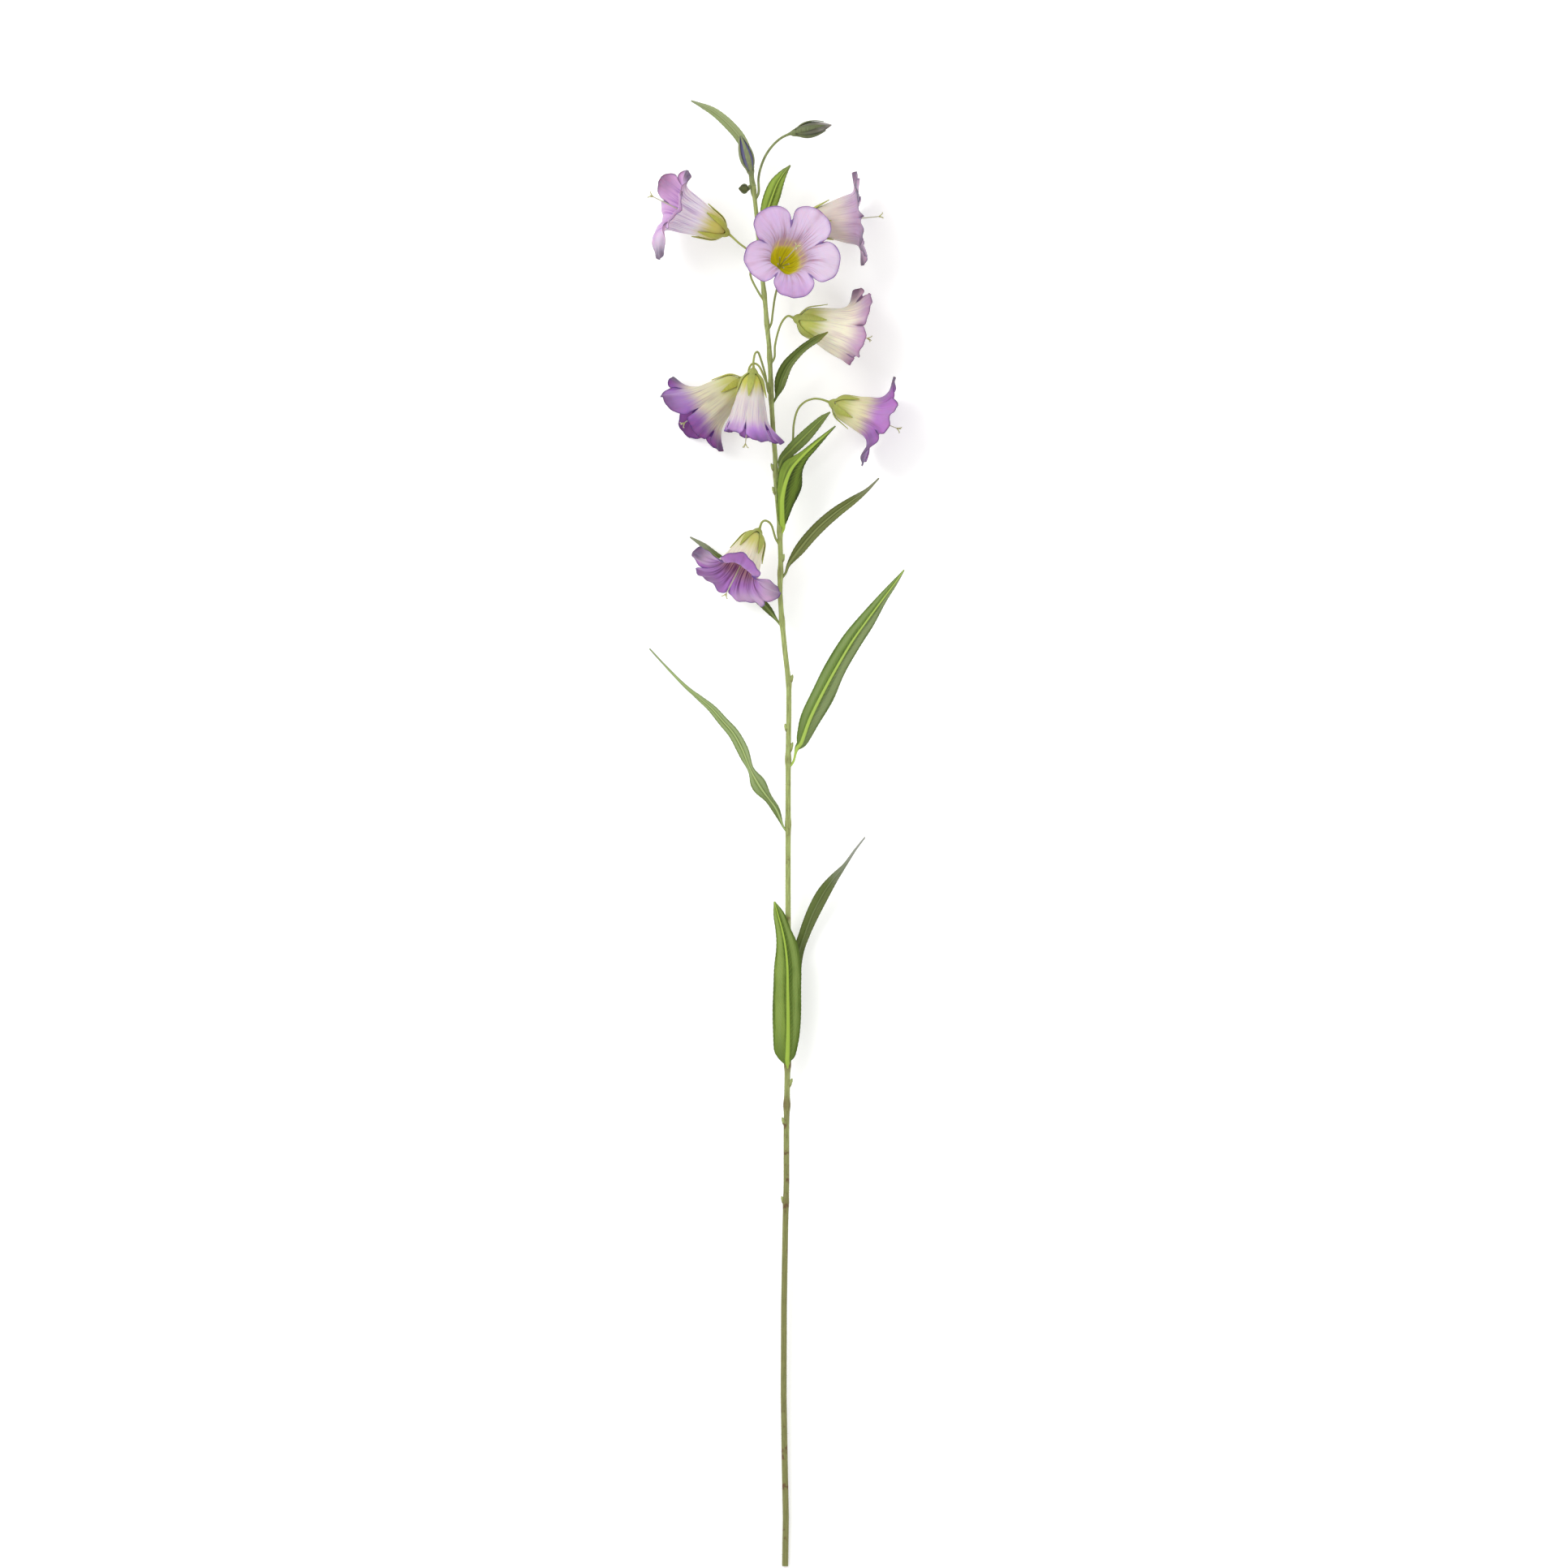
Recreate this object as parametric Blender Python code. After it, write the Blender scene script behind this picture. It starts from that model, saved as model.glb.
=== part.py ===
"""A cut campanula stem lying on a surface: bells, buds and leaves on one long stalk.

Metres, +Z up. The stem runs along +Y with its cut end at -Y, and rests on that end and on the
lowest lobes of two bells. The plan of the stem was measured on the photograph, so plan places
are pixels there and heights are millimetres above the surface.
"""

import math

import bmesh
import bpy
from mathutils import Vector

MM = 0.001

# Driving sizes
STEM_LENGTH = 0.85
STEM_FOOT_RADIUS = 1.80 * MM
STEM_TOP_RADIUS = 1.15 * MM
STEM_RISE = math.radians(2.0)
STALK_RADIUS = 0.62 * MM
SEAT_GAP = 0.30 * MM
SPRING_LEAN = 0.05 * MM
SPRING_REACH = 0.8 * MM
SPRING_BEND = 1.3 * MM
STALK_BASE_SWELL = 1.25
CUP_HEIGHT = 3.5 * MM
CUP_RADIUS = 3.3 * MM
COROLLA_FOOT_RADIUS = 2.6 * MM
PETAL_THICKNESS = 0.70 * MM
LEAF_THICKNESS = 0.65 * MM
RIB_THICKNESS = 1.05 * MM
SEPAL_THICKNESS = 0.70 * MM
SEPAL_LENGTH = 18.0 * MM
SEPAL_HALF_WIDTH = 2.3 * MM
SEPAL_STAND = 0.66 * MM
SEPAL_FOOT_WIDTH = 0.66
SEPAL_TIP_WIDTH = 0.14
STYLE_RADIUS = 0.65 * MM
STYLE_FOOT_RADIUS = 1.3 * MM
STYLE_PAST_MOUTH = 12.0 * MM
STIGMA_REACH = 2.2 * MM
STIGMA_ARMS = 3
STIGMA_RADII = (0.55 * MM, 0.4 * MM)
SEPAL_LIFTS = (0.0, 0.9, 0.2, 1.4, 0.5)
STAMEN_LENGTH = 10.0 * MM
STAMEN_LEAN = 3.4 * MM
STAMEN_RADII = (0.5 * MM, 0.45 * MM)

# Bell profile: path lengths along a petal and the slope of the petal to the bell's axis
PATH_FOOT = 9.0 * MM
FLARE = (26.0, 44.0)
PATH_NOTCH = 41.0 * MM
LOBE_REACH = 9.0 * MM
SLOPE_FOOT = math.radians(52.0)
SLOPE_TUBE = math.radians(11.0)
SLOPE_FLARE = math.radians(85.0)
SLOPE_SIDE = math.radians(14.0)
LOBES = 5
LOBE_ARC = 2.0 * math.pi / LOBES
COLUMNS_PER_LOBE = 5
RING_PARTS = (0.0, 0.13, 0.38, 0.63, 0.81, 1.0)
SEPAL_PARTS = (0.0, 0.24, 0.55, 1.0)
BUD_SKIN_START = 0.09
BUD_TWIST = 0.6
BUD_FURROW = 0.86
BUD_COLUMNS = 10
BUD_RINGS = 7
BUD_PARTS = (0.06, 0.97)
BUD_CUP_SHARE = 0.14
PATH_STEPS = 48

# Round forms: the cup's outline as shares of its height and radius, and sides all round
CUP_OUTLINE = ((0.0, 0.25), (0.4, 0.68), (1.0, 1.0))
CUP_SIDES = 8
STEM_SIDES = 6
STALK_SIDES = 5
FINE_SIDES = 3
NUB_SIDES = 4
NUB_RADII = (1.0 * MM, 0.3 * MM)

# The photograph's plan, in its own pixels
PLAN_MIDDLE_X = 956.7
PLAN_MIDDLE_Y = 1028.0
TIP_Y = 124.0
CUT_Y = 1932.0
PIXEL = STEM_LENGTH / (CUT_Y - TIP_Y)

STEM_ROUTE = (
    (967.4, 1932), (968.3, 1872), (966.9, 1803), (965.6, 1720), (966.0, 1610), (967.7, 1510),
    (969.0, 1459), (969.0, 1390), (969.8, 1348), (970.6, 1300), (971.0, 1200), (971.0, 1080),
    (971.1, 1003), (971.2, 929), (972.0, 881), (972.0, 842), (967.2, 802), (963.2, 762),
    (961.0, 730), (962.0, 690), (960.5, 645), (956.5, 600), (955.0, 560), (952.6, 530),
    (950.4, 493), (949.4, 462), (947.6, 425), (945.0, 401), (942.5, 370), (939.6, 345),
    (936.5, 315), (932.8, 270), (929.4, 240), (928.3, 227),
)
# Where a leaf or a stalk springs, the stem swells: place along the plan, extra radius
STEM_JOINTS = (
    (234, 0.35), (285, 0.25), (322, 0.2), (362, 0.3), (398, 0.3), (440, 0.3), (474, 0.3),
    (490, 0.35), (585, 0.4), (655, 0.45), (706, 0.4), (765, 0.35), (840, 0.3), (936, 0.45),
    (1016, 0.4), (1312, 0.5), (1362, 0.55), (1482, 0.2),
)
JOINT_SPREAD = 7.0
# Small scars and buds on the stem: plan place, direction in plan, length
STEM_NUBS = (
    (951.0, 578, -1.0, 0.4, 1.3), (952.5, 607, -1.0, 0.5, 1.3), (966.0, 690, 1.0, 0.6, 1.0),
    (974.5, 839, 1.0, 0.5, 1.3), (966.5, 899, -1.0, 0.5, 1.0), (974.5, 925, 1.0, 1.0, 2.2),
    (974.0, 1338, 1.0, 0.6, 1.8), (965.0, 1385, -1.0, 0.5, 1.3), (966.0, 1482, -1.0, 0.4, 1.0),
)


def plan(x, y, height_mm):
    """A point from its place in the photograph's plan and its height in millimetres."""
    return Vector(((x - PLAN_MIDDLE_X) * PIXEL, (PLAN_MIDDLE_Y - y) * PIXEL, height_mm * MM))


def smooth_point(points, along):
    """A point on the Catmull-Rom curve through the given ones, at a place counted in spans."""
    ends = [2 * points[0] - points[1], *points, 2 * points[-1] - points[-2]]
    span = min(int(along), len(points) - 2)
    t = along - span
    before, start, end, after = ends[span:span + 4]
    return 0.5 * (
        2 * start
        + (end - before) * t
        + (2 * before - 5 * start + 4 * end - after) * t ** 2
        + (3 * start - before - 3 * end + after) * t ** 3
    )


def even_places(points, count):
    """Places along a smooth route, in spans, that cut it into equal lengths."""
    fine = 12 * (len(points) - 1)
    places = [step * (len(points) - 1) / fine for step in range(fine + 1)]
    spots = [smooth_point(points, place) for place in places]
    run = [0.0]
    for before, after in zip(spots, spots[1:]):
        run.append(run[-1] + (after - before).length)
    even = []
    index = 0
    for step in range(count):
        goal = run[-1] * step / (count - 1)
        while index < fine - 1 and run[index + 1] < goal:
            index += 1
        part = (goal - run[index]) / max(run[index + 1] - run[index], 1e-9)
        even.append(places[index] + (places[index + 1] - places[index]) * min(part, 1.0))
    return even


def smooth_route(points, count):
    """Points at equal distances along the smooth curve through the given ones."""
    return [smooth_point(points, place) for place in even_places(points, count)]


def ease(value):
    """A smooth step from 0 to 1."""
    value = min(max(value, 0.0), 1.0)
    return value * value * (3.0 - 2.0 * value)


def tube(points, radii, sides):
    """A closed tube along points: its corners and faces."""
    side = None
    corners = []
    for index, point in enumerate(points):
        ahead = points[min(index + 1, len(points) - 1)]
        behind = points[max(index - 1, 0)]
        along = (ahead - behind).normalized()
        if side is None:
            side = along.cross(Vector((0, 0, 1)))
            if side.length < 0.05:
                side = along.cross(Vector((0, 1, 0)))
        side = (side - along * side.dot(along)).normalized()
        up = side.cross(along)
        for step in range(sides):
            turn = 2 * math.pi * step / sides
            corners.append(point + radii[index] * (math.sin(turn) * side + math.cos(turn) * up))
    faces = []
    for ring in range(len(points) - 1):
        for step in range(sides):
            a = ring * sides + step
            b = ring * sides + (step + 1) % sides
            faces.append((a, b, b + sides, a + sides))
    faces.append(tuple(reversed(range(sides))))
    faces.append(tuple(range((len(points) - 1) * sides, len(points) * sides)))
    return corners, faces


def sheet(rows, thickness):
    """A closed thin blade round a grid of points, split alike on both faces."""
    count = len(rows)
    width = len(rows[0])
    upper = []
    lower = []
    for i in range(count):
        for j in range(width):
            along = rows[min(i + 1, count - 1)][j] - rows[max(i - 1, 0)][j]
            across = rows[i][min(j + 1, width - 1)] - rows[i][max(j - 1, 0)]
            normal = across.cross(along).normalized()
            upper.append(rows[i][j] + normal * thickness[j] / 2)
            lower.append(rows[i][j] - normal * thickness[j] / 2)
    shift = count * width
    faces = []
    for i in range(count - 1):
        for j in range(width - 1):
            a = i * width + j
            for first, second, third in ((a, a + 1, a + width + 1), (a, a + width + 1, a + width)):
                faces.append((first, second, third))
                faces.append((third + shift, second + shift, first + shift))
    border = [j for j in range(width)]
    border += [i * width + width - 1 for i in range(1, count)]
    border += [(count - 1) * width + j for j in range(width - 2, -1, -1)]
    border += [i * width for i in range(count - 2, 0, -1)]
    for a, b in zip(border, border[1:] + border[:1]):
        faces.append((a, a + shift, b + shift))
        faces.append((a, b + shift, b))
    return upper + lower, faces


def new_mesh(name, corners, faces):
    """A mesh with its faces turned outwards."""
    mesh = bpy.data.meshes.new(name)
    mesh.from_pydata([tuple(corner) for corner in corners], [], faces)
    shape = bmesh.new()
    shape.from_mesh(mesh)
    bmesh.ops.recalc_face_normals(shape, faces=shape.faces)
    bmesh.ops.triangulate(shape, faces=[face for face in shape.faces if len(face.verts) > 3])
    shape.to_mesh(mesh)
    shape.free()
    return mesh


def new_object(name, shapes, material):
    """One named body from one or more closed shapes, joined where there are several."""
    first, *others = shapes
    body = bpy.data.objects.new(name, new_mesh(name, *first))
    bpy.context.scene.collection.objects.link(body)
    if others:
        extras = bpy.data.collections.new(name + "_extras")
        bpy.context.scene.collection.children.link(extras)
        for number, other in enumerate(others):
            extra = bpy.data.objects.new(f"{name}_extra_{number}", new_mesh(name, *other))
            extras.objects.link(extra)
        union = body.modifiers.new("Join", "BOOLEAN")
        union.operation = "UNION"
        union.operand_type = "COLLECTION"
        union.collection = extras
        joined = bpy.data.meshes.new_from_object(
            body.evaluated_get(bpy.context.evaluated_depsgraph_get())
        )
        body.modifiers.clear()
        body.data = joined
        for extra in list(extras.objects):
            bpy.data.objects.remove(extra)
        bpy.data.collections.remove(extras)
    body.data.materials.clear()
    body.data.materials.append(material)
    body.data.shade_smooth()
    body.data.set_sharp_from_angle(angle=math.radians(50))
    return body


def finish(name, colour, roughness):
    """A plain material in a part's own colour."""
    material = bpy.data.materials.new(name)
    material.use_nodes = True
    shader = material.node_tree.nodes["Principled BSDF"]
    shader.inputs["Base Color"].default_value = (*colour, 1.0)
    shader.inputs["Roughness"].default_value = roughness
    shader.inputs["Metallic"].default_value = 0.0
    return material


def stem_height(y):
    """The height of the stem's centre line, in millimetres, at a place in the plan."""
    return STEM_FOOT_RADIUS / MM + (CUT_Y - y) * PIXEL * math.tan(STEM_RISE) / MM


def stem_radius(y):
    """The stem's radius, with its swollen joints."""
    top = STEM_ROUTE[-1][1]
    along = min(max((y - top) / (CUT_Y - top), 0.0), 1.0)
    radius = STEM_TOP_RADIUS + (STEM_FOOT_RADIUS - STEM_TOP_RADIUS) * along ** 0.6
    for place, extra in STEM_JOINTS:
        radius += extra * MM * math.exp(-(((y - place) / JOINT_SPREAD) ** 2))
    return radius


def stem_centre(y):
    """The stem's centre at a place in the plan, read from its route."""
    for (x0, y0), (x1, y1) in zip(STEM_ROUTE, STEM_ROUTE[1:]):
        if y1 <= y <= y0:
            part = (y0 - y) / (y0 - y1)
            return plan(x0 + (x1 - x0) * part, y, stem_height(y))
    return plan(*STEM_ROUTE[-1], stem_height(STEM_ROUTE[-1][1]))


def spring_points(y, direction):
    """The first three points of what springs from the stem, a seat gap off its surface."""
    across = Vector((direction[0], 0, direction[2])).normalized()
    start = stem_centre(y) + across * (stem_radius(y) + SEAT_GAP + SPRING_LEAN)
    bend = (Vector(direction).normalized() + 2 * across) / 3
    out = start + across * SPRING_REACH
    return [start, out, out + bend * SPRING_BEND]


def build_stem(material):
    """The stalk from its cut end to its fork, with swollen joints, scars and one small bract."""
    places = {place + shift for place, _ in STEM_JOINTS for shift in (-JOINT_SPREAD, 0, JOINT_SPREAD)}
    places |= {float(y) for _, y in STEM_ROUTE if min(abs(y - place) for place in places) > 4}
    places |= {STEM_ROUTE[-1][1], CUT_Y}
    places = sorted((y for y in places if STEM_ROUTE[-1][1] <= y <= CUT_Y), reverse=True)
    shapes = [tube([stem_centre(y) for y in places], [stem_radius(y) for y in places], STEM_SIDES)]
    for x, y, out, forward, length in STEM_NUBS:
        centre = stem_centre(y)
        outward = Vector((out, forward, 0.15)).normalized()
        root = centre + outward * stem_radius(y) * 0.4
        tip = centre + outward * (stem_radius(y) + length * MM)
        shapes.append(tube([root, tip], NUB_RADII, NUB_SIDES))
    return new_object("main_stem", shapes, material)


# Each leaf: where it springs, its first direction, and stations of
# plan x, plan y, height in mm, left and right half width in pixels, roll in degrees
LEAVES = {
    "leaf_01": ((236, (-0.5, 0.2, -0.85)), 6.0, (
        (925.5, 215, 25.5, 3, 3, 0), (923.5, 195, 23.5, 5, 5, 0), (913, 171, 24, 6, 6, 0),
        (898, 153, 25.5, 6, 6, 0), (881, 138.5, 27, 5, 5, 0), (865, 130, 28, 3, 3, 0),
        (851.5, 124, 28.5, 0.8, 0.8, 0))),
    "leaf_02": ((285, (0.9, 0.3, 0.35)), 14.0, (
        (941.5, 270, 31, 5.5, 6, 0), (947, 255, 32.5, 9.5, 9, 0), (952, 241, 34, 10.5, 9.5, 0),
        (957.5, 227, 35, 9, 8, 0), (965, 214.5, 35.5, 5, 4.5, 0), (974, 204, 35.5, 0.8, 0.8, 0))),
    "leaf_03": ((490, (0.95, 0.3, 0.35)), 10.0, (
        (960, 477, 29.2, 6, 6, 0), (963.5, 465, 32, 7.8, 7, 0), (970.5, 451, 35, 7.5, 5.5, 0),
        (981, 438.5, 38, 6, 4.5, 0), (993, 427.5, 41.5, 5, 4, 0), (1007, 418, 44.5, 4, 4, 0),
        (1020, 410, 46.5, 0.8, 0.8, 0))),
    "leaf_04": ((578, (0.8, 0.3, 0.6)), 8.0, (
        (964, 566, 27, 5, 5, 0), (976, 553, 27.8, 7, 7, 0), (989, 540, 28.2, 7, 8, 0),
        (1001, 528, 28.2, 6, 6.5, 0), (1013, 516, 28, 4, 4, 0), (1023, 507.5, 27.5, 0.8, 0.8, 0))),
    "leaf_05": ((652, (0.75, 0.3, 0.66)), 14.0, (
        (964, 645, 27, 4, 5, 0), (963.5, 631, 29.5, 5.5, 11, 0), (964, 614, 32, 6.5, 17.5, 0),
        (968, 595, 33.5, 10.5, 20.5, 0), (975.5, 577.5, 34.5, 13.5, 15, 0),
        (988, 563, 34.5, 6, 8, 0), (1003, 548.5, 34, 3.6, 5.5, 0), (1016, 537, 33, 2.6, 3, 0),
        (1029.5, 525, 32, 0.8, 0.8, 0))),
    "leaf_06": ((706, (0.97, 0.5, 0.2)), 12.0, (
        (971, 697, 23, 2.2, 2.2, 0), (976, 689, 24, 4, 4, 0), (985, 677, 25.5, 6.5, 6.5, 0),
        (998, 661, 27, 7, 7.2, 0), (1013, 645.5, 28, 7, 7.2, 0), (1031, 630.5, 28, 6.5, 6.5, 0),
        (1050, 617, 27, 5, 5, 0), (1068, 604, 26, 2.4, 2.4, 0), (1083, 589, 25, 0.8, 0.8, 0))),
    "leaf_07": ((765, (-0.85, 0.3, -0.45)), 8.0, (
        (946, 750, 15.5, 4.5, 4.5, 0), (930, 733, 11, 5.5, 5.5, 0), (912, 714, 7.5, 6, 6, 0),
        (895, 696, 6.5, 6, 6, 0), (880, 683, 6.5, 5, 4.5, 0), (866, 671, 7, 3.5, 3, 0),
        (850, 661, 7.5, 0.8, 0.8, 0))),
    "leaf_08": ((938, (0.95, 0.5, 0.2)), 16.0, (
        (981.5, 923, 19, 1.9, 1.9, 0), (987, 916, 20, 6.5, 6.5, 0), (991.5, 904, 21.2, 9.3, 9.3, 0),
        (998.5, 885, 23, 12.2, 12.7, 0), (1012.6, 856, 26, 12.6, 15.5, 0),
        (1030, 824, 29, 14, 12, 0), (1049, 792, 30, 13, 11.5, 0), (1068, 765, 29, 10.5, 10, 0),
        (1088, 738, 26, 7, 5, 0), (1103, 718, 23, 4, 3, 0), (1114, 702, 21, 0.8, 0.8, 0))),
    "leaf_09": ((1018, (-0.85, 0.5, 0.25)), 0.0, (
        (957, 999, 18.5, 5.5, 5.5, -40), (948, 986, 19.2, 6.2, 6.2, -50),
        (941, 976.5, 19.8, 8.2, 8.2, -25), (934, 965.5, 20.4, 9.4, 9.4, 5),
        (926, 950, 20.7, 6.5, 6.5, 50), (920.5, 937, 20.8, 6.4, 6.4, 35),
        (914, 922, 21, 7, 7, 10), (904, 904, 21, 6.5, 6.5, 0), (891, 889, 20.5, 5.8, 5.8, 0),
        (877, 873, 19.5, 4.8, 4.8, 0), (863, 861, 18.5, 3.4, 3.4, 0),
        (845, 846, 17, 2.2, 2.2, 0), (825, 826, 15, 1.4, 1.4, 0), (800, 799, 12, 0.8, 0.8, 0))),
    "leaf_10": ((1297, (0.7, 0.3, -0.75)), 10.0, (
        (977.5, 1277, 7, 3.5, 3.5, 0), (980, 1250, 6.2, 5, 5, 0), (980, 1212, 6.5, 6, 6, 0),
        (984, 1177, 7.5, 7, 5.5, 0), (992, 1151, 9, 7.5, 6, 0), (1002, 1125, 11, 8, 8, 0),
        (1014.5, 1101, 12.5, 8, 8, 0), (1027, 1083, 13.5, 5.5, 5.5, 0),
        (1041, 1066, 14, 2.4, 2.4, 0), (1054, 1047, 14, 1.5, 1.5, 0),
        (1066, 1031.5, 14, 0.8, 0.8, 0))),
    "leaf_11": ((1312, (0.0, 0.25, 1.0)), 12.0, (
        (970, 1306, 16.8, 10.5, 7, 0), (970.5, 1297, 17.2, 16.5, 10.5, 0),
        (971, 1275, 18.8, 18.3, 14.2, 0),
        (971, 1248, 21, 19, 16, 0), (970.5, 1218, 22.5, 17.5, 16.5, 0),
        (970, 1190, 22.5, 16, 17, 0), (967.5, 1165, 21, 11, 15, 0),
        (963.5, 1145, 19.5, 8, 10, 0), (958.5, 1127, 18.5, 5.5, 8, 0),
        (954, 1111, 18, 0.8, 0.8, 0))),
}
LEAF_ROWS_PER_STATION = 1.12
LEAF_WAVE = 0.45 * MM
PETIOLE = 1.4
NARROWEST = 0.8
RIPPLE_STEP = 1.9
LEAF_COLUMNS = (-1.0, -0.5, 0.0, 0.5, 1.0)


def build_leaf(name, leaf, material):
    """One leaf: a waved blade folded along its raised rib, on a short petiole."""
    (spring_y, direction), fold_degrees, stations = leaf
    fold = math.tan(math.radians(fold_degrees))
    ribs = spring_points(spring_y, direction) + [plan(x, y, height) for x, y, height, *_ in stations]
    first_roll = stations[0][5]
    sizes = [Vector((PETIOLE, PETIOLE, first_roll))] * 3 + [Vector(station[3:]) for station in stations]
    count = round(len(ribs) * LEAF_ROWS_PER_STATION)
    places = [0.0, 2.0, 3.0, *(place for place in even_places(ribs, count) if place > 3.35)]
    ribs = [smooth_point(ribs, place) for place in places]
    sizes = [smooth_point(sizes, place) for place in places]
    phase = sum(ord(letter) for letter in name)
    rows = []
    for index, (rib, size) in enumerate(zip(ribs, sizes)):
        along = ribs[min(index + 1, len(ribs) - 1)] - ribs[max(index - 1, 0)]
        flat = Vector((-along.y, along.x, 0)).normalized()
        if flat.length < 0.5:
            flat = Vector((-1, 0, 0))
        up = along.cross(flat).normalized() * -1.0
        roll = math.radians(size.z)
        leftwards = flat * math.cos(roll) + up * math.sin(roll)
        facing = up * math.cos(roll) - flat * math.sin(roll)
        row = []
        for column in LEAF_COLUMNS:
            half = size.x if column < 0 else size.y
            reach = max(half, NARROWEST) * PIXEL * abs(column)
            wave = LEAF_WAVE * math.sin(RIPPLE_STEP * index + phase + column) * abs(column) ** 2
            wave *= min(half / 6.0, 1.0)
            sideways = leftwards if column < 0 else -leftwards
            row.append(rib + sideways * reach + facing * (reach * fold + wave))
        rows.append(row)
    thickness = (LEAF_THICKNESS, LEAF_THICKNESS, RIB_THICKNESS, LEAF_THICKNESS, LEAF_THICKNESS)
    return new_object(name, [sheet(rows, thickness)], material)


class Bell:
    """An open bloom: its place, its axis and the way each of its lobes opens."""

    def __init__(self, base, rim, roll, slopes, reaches, spread=1.0, flare=FLARE, rests=False):
        self.axis = (plan(*rim) - plan(*base)).normalized()
        self.depth = (plan(*rim) - plan(*base)).length - CUP_HEIGHT - SEAT_GAP
        self.roll = math.radians(roll)
        self.slopes = [math.radians(slope) for slope in slopes]
        self.reaches = reaches
        self.spread = spread
        self.flare = [place * MM for place in flare]
        self.sepal_length = SEPAL_LENGTH
        up = Vector((0, 0, 1)) if abs(self.axis.z) < 0.8 else Vector((0, 1, 0))
        self.up = (up - self.axis * up.dot(self.axis)).normalized()
        self.side = self.axis.cross(self.up)
        self.foot = plan(*base)
        self.stretch = 1.0
        rim_axial = self.path(SLOPE_FLARE, PATH_NOTCH)[-1][1]
        self.stretch = self.depth / (rim_axial - CUP_HEIGHT - SEAT_GAP)
        if rests:
            lowest = min(corner.z for corner in self.corolla()[0])
            self.foot.z -= lowest

    def lobe_blend(self, azimuth):
        """The slope at a lobe's tip and how far out of its notch the petal reaches here."""
        turns = (azimuth - self.roll) / LOBE_ARC
        lobe = math.floor(turns + 0.5)
        offset = turns - lobe
        other = (lobe + (1 if offset > 0 else -1)) % LOBES
        share = 0.5 * ease((abs(offset) - 0.2) / 0.3)
        slope = self.slopes[lobe % LOBES] * (1 - share) + self.slopes[other] * share
        reach = self.reaches[lobe % LOBES] * (1 - share) + self.reaches[other] * share
        rise = max(1.0 - abs(2 * offset) ** 2.4, 0.0) ** 0.55
        return slope, rise * reach, offset

    def path(self, slope_end, length):
        """Radius, place along the axis and slope, stepwise up one petal."""
        step = length / PATH_STEPS
        radial = COROLLA_FOOT_RADIUS
        axial = CUP_HEIGHT + SEAT_GAP
        points = []
        for index in range(PATH_STEPS + 1):
            along = index * step
            slope = SLOPE_TUBE + (SLOPE_FOOT - SLOPE_TUBE) * (1 - ease(along / PATH_FOOT))
            opened = ease((along - self.flare[0]) / (self.flare[1] - self.flare[0]))
            slope += (slope_end - SLOPE_TUBE) * opened
            points.append((radial, axial, slope))
            radial += math.sin(slope) * step * self.spread
            axial += math.cos(slope) * step * self.stretch
        return points

    def place(self, radial, axial, azimuth):
        """The point in space at a radius, a place along the axis and an azimuth."""
        out = math.cos(azimuth) * self.up + math.sin(azimuth) * self.side
        return self.foot + self.axis * axial + out * radial

    def corolla(self):
        """The petals' closed double skin: corners and faces."""
        columns = COLUMNS_PER_LOBE
        rings = len(RING_PARTS) - 1
        count = columns * LOBES
        rows = [[] for _ in range(rings + 1)]
        for column in range(count):
            azimuth = self.roll + LOBE_ARC * (column / columns - 0.5)
            slope, rise, offset = self.lobe_blend(azimuth)
            length = PATH_NOTCH + LOBE_REACH * rise
            path = self.path(slope - SLOPE_SIDE * (2 * offset) ** 2, length)
            for ring, part in enumerate(RING_PARTS):
                radial, axial, _ = path[round(part * PATH_STEPS)]
                rows[ring].append(self.place(radial, axial, azimuth))
        outer = [point for row in rows for point in row]
        inner = []
        for ring in range(rings + 1):
            for column in range(count):
                along = rows[min(ring + 1, rings)][column] - rows[max(ring - 1, 0)][column]
                across = rows[ring][(column + 1) % count] - rows[ring][column - 1]
                inward = along.cross(across).normalized()
                inner.append(rows[ring][column] + inward * PETAL_THICKNESS)
        corners = outer + inner
        shift = len(outer)
        faces = []
        for ring in range(rings):
            for column in range(count):
                a = ring * count + column
                b = ring * count + (column + 1) % count
                for face in ((a, b, b + count), (a, b + count, a + count)):
                    faces.append(face)
                    faces.append(tuple(index + shift for index in reversed(face)))
        last = rings * count
        outer_foot = len(corners)
        corners.append(self.foot + self.axis * (CUP_HEIGHT + SEAT_GAP))
        corners.append(self.foot + self.axis * (CUP_HEIGHT + SEAT_GAP + PETAL_THICKNESS))
        for column in range(count):
            after = (column + 1) % count
            faces.append((last + column, last + after, last + after + shift))
            faces.append((last + column, last + after + shift, last + column + shift))
            faces.append((after, column, outer_foot))
            faces.append((column + shift, after + shift, outer_foot + 1))
        return corners, faces

    def skin(self, along):
        """Radius, place along the axis and slope of the tube's outside at a path length."""
        path = self.path(SLOPE_FLARE, PATH_NOTCH)
        return path[min(round(along / PATH_NOTCH * PATH_STEPS), PATH_STEPS)]


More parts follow.
